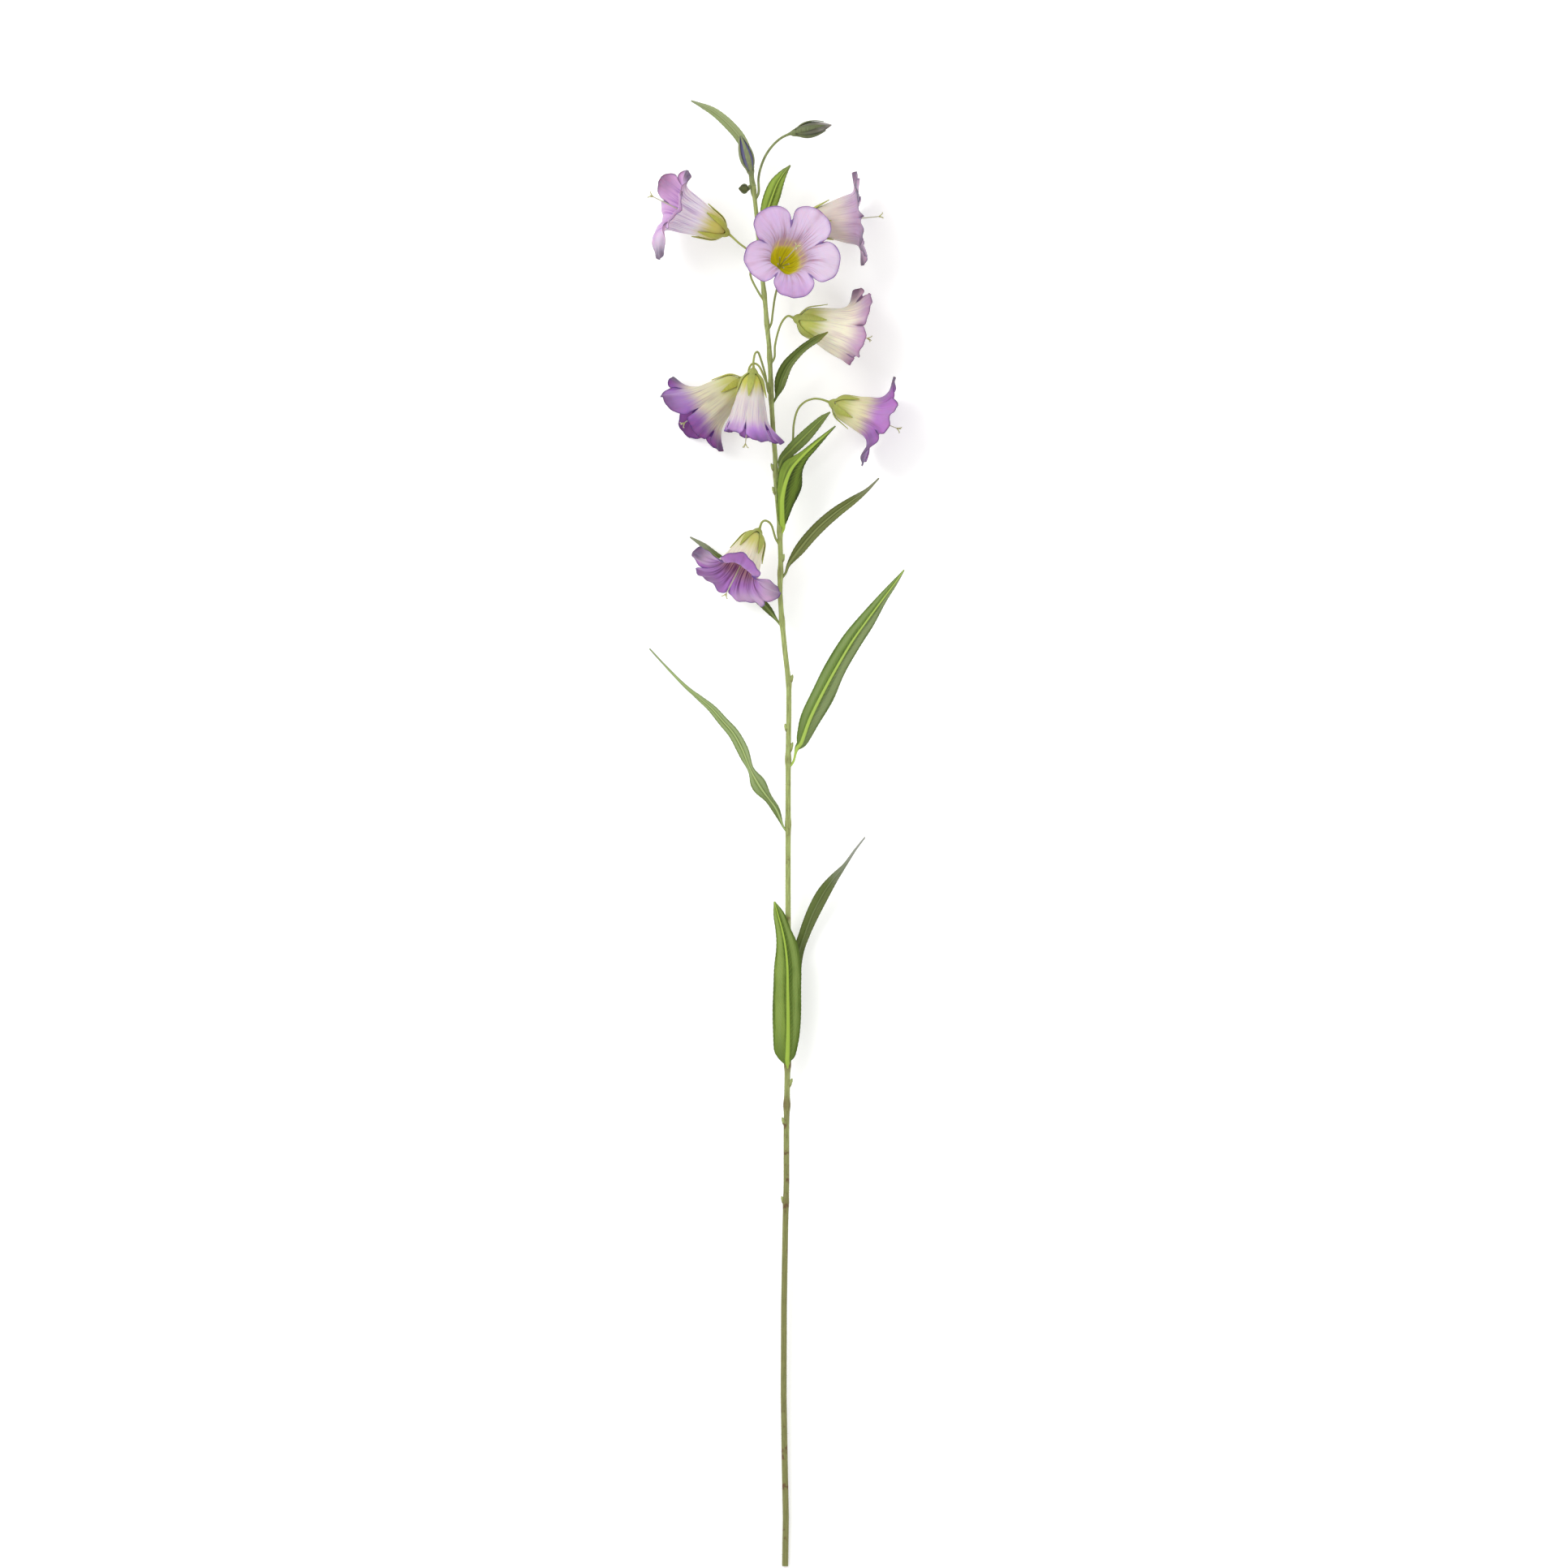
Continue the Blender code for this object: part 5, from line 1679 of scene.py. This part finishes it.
@dataclass
class Bud(Flower):
    """A closed bud, whose sepals lie close on its petals.

    Attributes:
        name: The start of its CAD nodes' names.
        base: Where its stalk meets its cup, in the plan.
        tip: Its tip, in the plan.
        width: Its greatest width, in millimetres.
        roll: Degrees that its first ridge is turned from the top of its axis.
        sepal_mm: Its sepals' length, in millimetres.
        spring: Where its stalk springs and its first direction, or nothing at the stem's end.
        passes: Plan points that the stalk passes.
        sizes: Its calyx's sizes; its height is worked out.
        finish: Its petals' colours.
        greens: Its calyx's colours.
    """

    name: str
    base: Plan
    tip: Plan
    width: float
    roll: float
    sepal_mm: float
    spring: Spring | None
    passes: tuple[Plan, ...]
    sizes: CalyxSizes
    finish: PetalFinish
    greens: StalkFinish

    def __post_init__(self) -> None:
        """Aim the bud and work out its length and its cup."""
        self.aim(plan(*self.base), plan(*self.tip))
        self.length = (plan(*self.tip) - plan(*self.base)).length
        self.roll_angle = math.radians(self.roll)
        self.sepal_length = self.sepal_mm * MM
        self.hug = BUD_HUG
        self.stalk = rooted(*self.spring) if self.spring else [stem_centre(STEM_ROUTE[-1][1] + 2)]
        self.stalk += [plan(*point) for point in self.passes]
        self.cup_height = min(CUP_HEIGHT, self.length * BUD_CUP_SHARE)

    def radius(self, part: float) -> float:
        """The bud's radius at a part of its length."""
        swell = math.sin(math.pi * min(part, 1.0) ** 0.75) ** 0.8 if 0 < part < 1 else 0.0
        return max(self.width * MM / 2 * swell, BUD_LEAST_RADIUS)

    def skin(self, along: float) -> tuple[float, float, float]:
        """Radius, place along the axis and slope of the bud's outside at a path length.

        Args:
            along: Metres from the petals' foot.

        Returns:
            The three values there.
        """
        start = self.cup_height + SEAT_GAP
        length = self.length - start
        part = min(along / length + BUD_SKIN_START, 1.0)
        ahead = min(part + 0.02, 1.0)
        slope = math.atan2(self.radius(ahead) - self.radius(part), (ahead - part) * length + 1e-9)
        return self.radius(part), start + part * length, slope

    def petals(self) -> Shape:
        """The folded petals: a pointed body with five ridges that turn a little.

        Returns:
            The closed shape.
        """
        start = self.cup_height * BUD_FOOT_SHARE
        length = self.length - start
        parts = np.concatenate([[0.0], np.linspace(0.06, 0.97, BUD_ROWS), [1.0]])
        turn = np.linspace(0, 2 * math.pi, BUD_SIDES, endpoint=False)
        radii = np.array([self.radius(part) for part in parts])
        radii[0], radii[-1] = self.sizes.radius * 0.7, BUD_TIP_RADIUS
        twisted = self.roll_angle + turn[None, :] + BUD_TWIST * parts[:, None]
        fold = np.abs(np.sin(BUD_FOLDS * turn))
        ridge = 0.93 + 0.07 * np.cos(2 * BUD_FOLDS * turn) - 0.03 * np.exp(-((fold / 0.15) ** 2))
        rings = self.put(radii[:, None] * ridge, (start + length * parts)[:, None], twisted)
        shape = (len(parts), len(turn))
        values = {
            "along": np.broadcast_to(parts[:, None], shape),
            "margin": np.broadcast_to(fold + 0.15, shape),
            "tone": np.broadcast_to(0.5 + 0.5 * np.cos(turn), shape),
            "grain": round_grain(turn, parts),
        }
        return turned(rings, values)

    def build(self, groups: dict[str, bpy.types.NodeTree], tubes: PathTubes) -> None:
        """The dressed bud.

        Args:
            groups: The pattern groups.
            tubes: What grows the stalk.
        """
        petals = self.finish.material(self.name + "_petal_finish", groups["petal"])
        new_piece(self.name + "_folded", self.petals(), petals, self.name + "_petals")
        self.build_greens(groups["skin"], tubes, self.sizes)


STEM_FINISH = StalkFinish((140, 140, 82), (178, 192, 116), (104, 106, 54), (104, 68, 40), 0.55, 0.7,
                          turn_start=0.2, turn_end=0.5)
FRESH_GREENS = StalkFinish((152, 164, 98), (182, 188, 88), (146, 154, 66), (156, 140, 60), 0.45, 0.3)
OLIVE_GREENS = StalkFinish((156, 166, 100), (196, 196, 84), (158, 160, 48), (160, 140, 50), 0.45, 0.3)
BUD_GREENS = StalkFinish((150, 162, 100), (112, 120, 82), (82, 92, 56), (90, 80, 60), 0.6, 0.3)
PISTIL_FINISH = StalkFinish((206, 208, 132), (214, 214, 182), (190, 190, 140), (170, 160, 90), 0.3, 0.2)


def leaves() -> list[Leaf]:
    """The leaves, from the tip of the stem down."""
    return [
        Leaf("leaf_01", (236, (-0.5, 0.2, -0.85)), 6.0, (
            (925.5, 215, 25.5, 3, 3, 0), (923.5, 195, 23.5, 5, 5, 0), (913, 171, 24, 6, 6, 0),
            (898, 153, 25.5, 6, 6, 0), (881, 138.5, 27, 5, 5, 0), (865, 130, 28, 3, 3, 0),
            (851.5, 124, 28.5, 0.8, 0.8, 0)),
            LeafFinish(left=(162, 176, 118), right=(176, 188, 136), rib=(172, 184, 132),
                       dark=(124, 136, 82), gloss=(164, 176, 124), tip=(146, 150, 136), fade=0.84)),
        Leaf("leaf_02", (285, (0.9, 0.3, 0.35)), 14.0, (
            (941.5, 270, 31, 5.5, 6, 0), (947, 255, 32.5, 9.5, 9, 0), (952, 241, 34, 10.5, 9.5, 0),
            (957.5, 227, 35, 9, 8, 0), (965, 214.5, 35.5, 5, 4.5, 0), (974, 204, 35.5, 0.8, 0.8, 0)),
            LeafFinish(left=(148, 176, 66), right=(128, 152, 54), rib=(178, 204, 84),
                       dark=(78, 98, 26), gloss=(168, 196, 84), tip=(120, 132, 84),
                       contrast=0.75)),
        Leaf("leaf_03", (490, (0.95, 0.3, 0.35)), 10.0, (
            (960, 477, 29.2, 6, 6, 0), (963.5, 465, 32, 7.8, 7, 0), (970.5, 451, 35, 7.5, 5.5, 0),
            (981, 438.5, 38, 6, 4.5, 0), (993, 427.5, 41.5, 5, 4, 0), (1007, 418, 44.5, 4, 4, 0),
            (1020, 410, 46.5, 0.8, 0.8, 0)),
            LeafFinish(left=(86, 102, 36), right=(144, 158, 94), rib=(108, 126, 58),
                       dark=(58, 74, 18), gloss=(104, 120, 52), tip=(140, 134, 58),
                       contrast=0.85)),
        Leaf("leaf_04", (578, (0.8, 0.3, 0.6)), 8.0, (
            (964, 566, 27, 5, 5, 0), (976, 553, 27.8, 7, 7, 0), (989, 540, 28.2, 7, 8, 0),
            (1001, 528, 28.2, 6, 6.5, 0), (1013, 516, 28, 4, 4, 0), (1023, 507.5, 27.5, 0.8, 0.8, 0)),
            LeafFinish(left=(116, 136, 66), right=(128, 144, 80), rib=(146, 166, 80),
                       dark=(90, 110, 44), gloss=(122, 142, 70), tip=(128, 142, 92))),
        Leaf("leaf_05", (652, (0.75, 0.3, 0.66)), 14.0, (
            (964, 645, 27, 4, 5, 0), (963.5, 631, 29.5, 5.5, 11, 0), (964, 614, 32, 6.5, 17.5, 0),
            (968, 595, 33.5, 10.5, 20.5, 0), (975.5, 577.5, 34.5, 13.5, 15, 0),
            (988, 563, 34.5, 6, 8, 0), (1003, 548.5, 34, 3.6, 5.5, 0), (1016, 537, 33, 2.6, 3, 0),
            (1029.5, 525, 32, 0.8, 0.8, 0)),
            LeafFinish(left=(146, 174, 66), right=(84, 104, 28), rib=(176, 206, 80),
                       dark=(36, 54, 6), gloss=(118, 144, 48), tip=(104, 120, 74),
                       rib_width=1.9, contrast=0.9)),
        Leaf("leaf_06", (706, (0.97, 0.5, 0.2)), 12.0, (
            (971, 697, 23, 2.2, 2.2, 0), (976, 689, 24, 4, 4, 0), (985, 677, 25.5, 6.5, 6.5, 0),
            (998, 661, 27, 7, 7.2, 0), (1013, 645.5, 28, 7, 7.2, 0), (1031, 630.5, 28, 6.5, 6.5, 0),
            (1050, 617, 27, 5, 5, 0), (1068, 604, 26, 2.4, 2.4, 0), (1083, 589, 25, 0.8, 0.8, 0)),
            LeafFinish(left=(100, 108, 50), right=(130, 139, 82), rib=(136, 146, 86),
                       dark=(76, 86, 30), gloss=(118, 128, 68), tip=(146, 150, 120), fade=0.72,
                       contrast=0.75)),
        Leaf("leaf_07", (765, (-0.85, 0.3, -0.45)), 8.0, (
            (946, 750, 15.5, 4.5, 4.5, 0), (930, 733, 11, 5.5, 5.5, 0), (912, 714, 7.5, 6, 6, 0),
            (895, 696, 6.5, 6, 6, 0), (880, 683, 6.5, 5, 4.5, 0), (866, 671, 7, 3.5, 3, 0),
            (850, 661, 7.5, 0.8, 0.8, 0)),
            LeafFinish(left=(104, 122, 56), right=(92, 108, 46), rib=(134, 150, 82),
                       dark=(62, 78, 24), gloss=(112, 128, 64), tip=(160, 166, 140), fade=0.7)),
        Leaf("leaf_08", (938, (0.95, 0.5, 0.2)), 16.0, (
            (981.5, 923, 19, 1.9, 1.9, 0), (987, 916, 20, 6.5, 6.5, 0), (991.5, 904, 21.2, 9.3, 9.3, 0),
            (998.5, 885, 23, 12.2, 12.7, 0), (1012.6, 856, 26, 12.6, 15.5, 0),
            (1030, 824, 29, 14, 12, 0), (1049, 792, 30, 13, 11.5, 0), (1068, 765, 29, 10.5, 10, 0),
            (1088, 738, 26, 7, 5, 0), (1103, 718, 23, 4, 3, 0), (1114, 702, 21, 0.8, 0.8, 0)),
            LeafFinish(left=(122, 150, 72), right=(136, 150, 104), rib=(184, 212, 98),
                       dark=(76, 102, 28), gloss=(148, 168, 108), tip=(140, 152, 118),
                       fade=0.9, rib_width=1.2, contrast=0.85)),
        Leaf("leaf_09", (1018, (-0.85, 0.5, 0.25)), 0.0, (
            (957, 999, 18.5, 5.5, 5.5, -40), (948, 986, 19.2, 6.2, 6.2, -50),
            (941, 976.5, 19.8, 8.2, 8.2, -25), (934, 965.5, 20.4, 9.4, 9.4, 5),
            (926, 950, 20.7, 6.5, 6.5, 50), (920.5, 937, 20.8, 6.4, 6.4, 35),
            (914, 922, 21, 7, 7, 10), (904, 904, 21, 6.5, 6.5, 0), (891, 889, 20.5, 5.8, 5.8, 0),
            (877, 873, 19.5, 4.8, 4.8, 0), (863, 861, 18.5, 3.4, 3.4, 0),
            (845, 846, 17, 2.2, 2.2, 0), (825, 826, 15, 1.4, 1.4, 0), (800, 799, 12, 0.8, 0.8, 0)),
            LeafFinish(left=(150, 172, 104), right=(156, 176, 116), rib=(182, 202, 130),
                       dark=(84, 104, 36), gloss=(170, 188, 132), tip=(150, 158, 134),
                       fade=0.85, contrast=0.8)),
        Leaf("leaf_10", (1297, (0.7, 0.3, -0.75)), 10.0, (
            (977.5, 1277, 7, 3.5, 3.5, 0), (980, 1250, 6.2, 5, 5, 0), (980, 1212, 6.5, 6, 6, 0),
            (984, 1177, 7.5, 7, 5.5, 0), (992, 1151, 9, 7.5, 6, 0), (1002, 1125, 11, 8, 8, 0),
            (1014.5, 1101, 12.5, 8, 8, 0), (1027, 1083, 13.5, 5.5, 5.5, 0),
            (1041, 1066, 14, 2.4, 2.4, 0), (1054, 1047, 14, 1.5, 1.5, 0),
            (1066, 1031.5, 14, 0.8, 0.8, 0)),
            LeafFinish(left=(101, 117, 54), right=(112, 124, 72), rib=(118, 132, 80),
                       dark=(80, 94, 38), gloss=(104, 118, 62), tip=(172, 174, 166), fade=0.72,
                       contrast=0.7)),
        Leaf("leaf_11", (1312, (0.0, 0.25, 1.0)), 12.0, (
            (970, 1306, 16.8, 10.5, 7, 0), (970.5, 1297, 17.2, 16.5, 10.5, 0),
            (971, 1275, 18.8, 18.3, 14.2, 0),
            (971, 1248, 21, 19, 16, 0), (970.5, 1218, 22.5, 17.5, 16.5, 0),
            (970, 1190, 22.5, 16, 17, 0), (967.5, 1165, 21, 11, 15, 0),
            (963.5, 1145, 19.5, 8, 10, 0), (958.5, 1127, 18.5, 5.5, 8, 0),
            (954, 1111, 18, 0.8, 0.8, 0)),
            LeafFinish(left=(142, 168, 72), right=(104, 128, 48), rib=(172, 202, 78),
                       dark=(72, 96, 18), gloss=(150, 174, 92), tip=(140, 164, 76), fade=0.92,
                       rib_width=1.5, contrast=0.9)),
    ]


def bells() -> list[Bell]:
    """The open blooms, from the tip of the stem down."""
    usual = (1.0, 1.0, 1.0, 1.0, 1.0)
    return [
        Bell("bell_a", (899, 289, 28), (825.5, 253, 35.5), -4, (108, 102, 22, 137, 122),
             (0.6, 0.5, 1.0, 0.8, 1.55), 1.06, (30, 46), (322, (-1, 0.3, 0.2)),
             ((921.6, 308.4, 30), (911, 300, 29.8)),
             (0.9, 0.4, 0.7, 0.3, -0.7), (0.3, 1.0, 0.5, 0.2, 0.9), Slot.LILAC,
             PetalFinish(foot=(214, 204, 104), tube=(254, 244, 255), lobe=(226, 188, 234),
                         pale=(220, 206, 226), deep=(196, 148, 200), rim=(104, 86, 124),
                         vein=(172, 122, 200), inner_veins=0.7, outer_veins=0.65,
                         rim_share=0.85, foot_end=0.34,
                         lobe_start=0.8, throat=(190, 150, 180), mouth=(206, 166, 214)),
             OLIVE_GREENS),
        Bell("bell_b", (958, 331, 24), (976, 312, 59), 35, (84, 86, 88, 88, 82),
             (1.1, 1.05, 0.85, 1.0, 1.15), 1.02, FLARE, (362, (-0.9, 0.5, 0)),
             ((925.5, 342, 24), (926, 331, 21), (935, 324, 18.5), (947, 326, 17.5), (955, 331, 19)),
             (0.35, 0.15, 0.7, -0.5, -0.2), (0.0, 0.0, 0.1, 0.0, 0.0), Slot.LILAC,
             PetalFinish(lobe=(228, 206, 238), pale=(238, 226, 242), deep=(206, 166, 226),
                         rim=(132, 106, 170), vein=(188, 148, 172), throat=(198, 190, 8),
                         mouth=(214, 204, 124), throat_end=0.41, inner_veins=0.85, rim_share=0.95,
                         painted_light_share=0.5),
             FRESH_GREENS),
        Bell("bell_c", (987, 276, 29), (1059.5, 269, 29), 36, (88, 92, 88, 92, 90),
             (0.42, 0.42, 0.34, 0.42, 0.42), 1.28, (31, 40), (398, (1, 0.2, -0.3)),
             ((952, 386, 24.5), (955, 365, 20), (961, 342, 15), (969, 314, 17), (977, 290, 24)),
             (0.5, 0.2, 0.3, 0.2, 0.4), (0.8, 0.8, 0.6, 0.8, 0.9), Slot.LILAC,
             PetalFinish(foot=(216, 212, 170), tube=(230, 218, 206), lobe=(216, 190, 220),
                         pale=(236, 224, 246), deep=(178, 144, 186), rim=(112, 98, 136),
                         vein=(164, 126, 158), inner_veins=0.8, rim_share=0.85, lobe_start=0.6),
             FRESH_GREENS),
        Bell("bell_d", (977, 391.5, 33), (1046, 410.5, 28.3), 18, (34, 10, 44, 95, 52),
             (0.55, 0.2, 0.25, 0.3, 0.6), 1.27, (23, 45), (440, (1, 0.6, 0.1)),
             ((955, 425, 27.8), (959.6, 406, 30), (964.7, 395, 31.8), (970.8, 389.5, 33)),
             (0.25, 0.9, 0.8, 0.5, 0.1), (0.0, 0.2, 0.2, 0.8, 0.25), Slot.LILAC,
             PetalFinish(foot=(196, 204, 100), tube=(255, 250, 222), lobe=(204, 172, 208),
                         pale=(238, 222, 240), deep=(176, 130, 172), rim=(116, 92, 132),
                         vein=(186, 152, 180), foot_end=0.3, lobe_start=0.76, inner_veins=0.6,
                         rim_share=0.85),
             FRESH_GREENS),
        Bell("bell_e", (921, 465, 18.7), (863, 506.5, 19.7), 45, (25, 72, 15, 59, 8),
             (1.5, 0.3, 1.35, 0.4, 0.8), 1.22, (22, 45), (470, (-1, 0.5, -0.2)),
             ((936, 452, 23), (928.5, 447.5, 22.5), (923.5, 452.5, 23.5)),
             (-0.4, 0.9, 1.0, 0.6, 0.5), (0.5, 1.0, 0.3, 0.8, 0.2), Slot.VIOLET,
             PetalFinish(foot=(206, 208, 120), tube=(230, 226, 190), lobe=(156, 108, 192),
                         pale=(196, 162, 216), deep=(132, 58, 144), rim=(74, 42, 120),
                         vein=(152, 122, 150), foot_end=0.3, lobe_start=0.74, rim_share=1.0,
                         throat_end=0.4, throat=(150, 120, 130), mouth=(142, 88, 150),
                         inner_veins=0.35),
             OLIVE_GREENS),
        Bell("bell_f", (928.5, 453.5, 43), (921, 523.5, 43), 42, (23, 8, 22, 46, 43),
             (0.45, 0.45, 0.8, 1.45, 1.4), 0.85, (29, 44), (480, (-0.7, 0.2, 0.7)),
             ((943, 462, 32), (937.5, 443, 38), (934, 434.5, 41), (930.3, 436.5, 43),
              (928.4, 446, 43.3)),
             (-0.4, 0.4, 0.5, 0.5, 0.4), (0.3, 0.3, 0.2, 0.7, 0.6), Slot.VIOLET,
             PetalFinish(foot=(206, 204, 84), tube=(230, 222, 216), lobe=(202, 150, 230),
                         pale=(232, 206, 246), deep=(160, 106, 200), rim=(84, 50, 132),
                         vein=(168, 126, 196), foot_end=0.26, lobe_start=0.78, inner_veins=0.6,
                         rim_share=0.95),
             FRESH_GREENS),
        Bell("bell_g", (1021, 495, 25.8), (1083, 519, 26.8), -14, (50, 92, 88, 92, 93),
             (1.15, 1.15, 0.9, 0.9, 0.85), 1.0, FLARE, (592, (0.9, 0.3, -0.4)),
             ((970, 563, 21), (976.5, 545, 21.5), (978, 523, 23), (982.5, 505.5, 24.5),
              (991, 495.5, 26), (1002, 491.3, 27), (1012, 492, 27.3)),
             (-0.1, 0.9, 0.8, 0.9, 0.7), (0.1, 0.9, 0.4, 0.4, 1.0), Slot.VIOLET,
             PetalFinish(foot=(190, 194, 104), tube=(238, 234, 186), lobe=(192, 132, 214),
                         pale=(214, 180, 226), deep=(140, 94, 166), rim=(86, 62, 120),
                         vein=(140, 92, 134), foot_end=0.26, lobe_start=0.6, inner_veins=0.9,
                         rim_share=0.95),
             FRESH_GREENS),
        Bell("bell_h", (936, 651, 25), (905, 712, 38), 0, (104, 96, 92, 90, 96), usual, 1.0,
             FLARE, (663, (-1, 0.6, 0.3)),
             ((950.5, 647, 25), (944, 641.5, 26), (938.8, 643.5, 26)),
             (0.2, -0.9, 0.9, -0.6, -0.9), (0.1, 1.0, 0.3, 0.2, 0.7), Slot.VIOLET,
             PetalFinish(foot=(214, 212, 116), tube=(250, 242, 216), lobe=(182, 124, 208),
                         pale=(220, 192, 220), deep=(140, 82, 152), rim=(94, 66, 142),
                         vein=(112, 56, 116), foot_end=0.3, lobe_start=0.76, throat_end=0.5,
                         throat=(196, 162, 140), mouth=(196, 156, 160), inner_veins=0.95,
                         rim_share=0.9),
             FRESH_GREENS),
    ]


def buds() -> list[Bud]:
    """The closed buds."""
    return [
        Bud("bud_1", (926.5, 217, 31.5), (912.5, 168, 35), 7.4, -26, 20, None,
            ((928.1, 225.8, 29.95), (927.9, 224.5, 30.3), (927.6, 222.6, 30.6)),
            CalyxSizes(3.22 * MM, 2.4 * MM, 1.5 * MM, STEM_TOP_RADIUS * 0.8, (0.0,) * 5),
            PetalFinish(foot=(150, 156, 128), tube=(120, 116, 156), lobe=(112, 104, 160),
                        pale=(146, 152, 124), deep=(88, 80, 140), rim=(74, 70, 110),
                        vein=(86, 82, 122), foot_end=0.15, rim_share=0.6, inner_veins=0.5),
            StalkFinish((150, 162, 100), (146, 154, 114), (106, 116, 76), (96, 88, 64),
                        0.55, 0.3)),
        Bud("bud_2", (973, 165, 31.5), (1025, 154, 31.5), 9.0, 25, 15,
            (237, (0.9, 0.5, 0.1)),
            ((934.6, 220, 30.5), (937.5, 206, 31), (943.5, 191.5, 31.3), (952, 179.5, 31.5),
             (962, 170.5, 31.5)),
            CalyxSizes(CUP_HEIGHT, 2.4 * MM, 1.6 * MM, STALK_RADIUS * 1.15, (0.0,) * 5),
            PetalFinish(foot=(112, 120, 82), tube=(118, 118, 98), lobe=(196, 186, 184),
                        pale=(122, 126, 98), deep=(98, 98, 82), rim=(84, 86, 70),
                        vein=(90, 92, 70), foot_end=0.3, rim_share=0.6, inner_veins=0.5),
            BUD_GREENS),
        Bud("bud_3", (922.5, 233, 31.5), (910, 232.5, 34.5), 5.0, 0, 3.6,
            (229, (-0.9, 0.0, 0.5)), (),
            CalyxSizes(0.9 * MM, 1.5 * MM, 1.0 * MM, STALK_RADIUS * 0.8, (0.0,) * 3),
            PetalFinish(foot=(102, 110, 60), tube=(104, 112, 60), lobe=(108, 112, 66),
                        pale=(104, 112, 60), deep=(80, 88, 42), rim=(64, 72, 34),
                        vein=(70, 76, 36), rim_share=0.6, inner_veins=0.5,
                        throat=(104, 112, 60), mouth=(104, 112, 60)),
            BUD_GREENS),
    ]


WHITE = (1.0, 1.0, 1.0, 1.0)
FLOOR_SOCKETS = {
    "Base Color": (0.93, 0.93, 0.92, 1.0), "Roughness": 0.9, "Specular IOR Level": 0.1,
    "Emission Color": WHITE, "Emission Strength": 0.22,
}
LAMPS = (
    ("key", (-1.6, 1.5, 2.6), 1.6, 42.0),
    ("fill", (2.0, -0.6, 2.4), 2.6, 10.0),
)


@dataclass
class Studio:
    """The pale floor, the soft lights and the camera that looks down on the stem."""

    camera_height: float = 12.0
    plant_height: float = 0.03
    sensor: float = 36.0
    floor_size: float = 6.0
    world_strength: float = 0.85

    def floor(self) -> None:
        """A wide plain floor just under the stem."""
        half = self.floor_size / 2
        corners = [(-half, -half, 0), (half, -half, 0), (half, half, 0), (-half, half, 0)]
        mesh = bpy.data.meshes.new("floor")
        mesh.from_pydata(corners, [], [(0, 1, 2, 3)])
        material = bpy.data.materials.new("floor_white")
        material.use_nodes = True
        shader = material.node_tree.nodes["Principled BSDF"]
        for name, value in FLOOR_SOCKETS.items():
            shader.inputs[name].default_value = value
        mesh.materials.append(material)
        floor = bpy.data.objects.new("floor", mesh)
        bpy.context.scene.collection.objects.link(floor)

    def light(self, name: str, place: Plan, size: float, power: float) -> None:
        """One square soft light that points at the middle of the stem.

        Args:
            name: Its name.
            place: Where it stands, in metres.
            size: The length of its side.
            power: Watts.
        """
        lamp = bpy.data.lights.new(name, "AREA")
        lamp.size = size
        lamp.energy = power
        body = bpy.data.objects.new(name, lamp)
        body.location = place
        body.rotation_euler = (-Vector(place)).to_track_quat("-Z", "Y").to_euler()
        body.visible_camera = False
        bpy.context.scene.collection.objects.link(body)

    def build(self) -> None:
        """Floor, lights, world and camera."""
        self.floor()
        for lamp in LAMPS:
            self.light(*lamp)
        world = bpy.data.worlds.new("soft_world")
        world.use_nodes = True
        sky = world.node_tree.nodes["Background"].inputs
        sky["Color"].default_value = WHITE
        sky["Strength"].default_value = self.world_strength
        scene = bpy.context.scene
        scene.world = world
        scene.view_settings.view_transform = "Standard"
        camera = bpy.data.cameras.new("camera")
        camera.sensor_width = self.sensor
        camera.lens = self.sensor * (self.camera_height - self.plant_height) / (FRAME_PIXELS * PIXEL)
        body = bpy.data.objects.new("camera", camera)
        middle = plan(FRAME_PIXELS / 2, FRAME_PIXELS / 2, 0)
        body.location = (middle.x, middle.y, self.camera_height)
        scene.collection.objects.link(body)
        scene.camera = body


def main() -> None:
    """Build every piece and report it."""
    logging.basicConfig(level=logging.INFO, format="%(message)s")
    Studio().build()
    groups = {"petal": petal_pattern(), "leaf": leaf_pattern(), "skin": plant_skin_pattern()}
    tubes = PathTubes()
    stem = Stem(STEM_FINISH).build(groups["skin"])
    LOG.info("stem: %d faces", len(stem.data.polygons))
    for leaf in leaves():
        piece = leaf.build(groups["leaf"])
        LOG.info("%s: %d faces", leaf.name, len(piece.data.polygons))
    for flower in [*bells(), *buds()]:
        flower.build(groups, tubes)
        LOG.info("%s: built", flower.name)


if __name__ == "__main__":
    main()
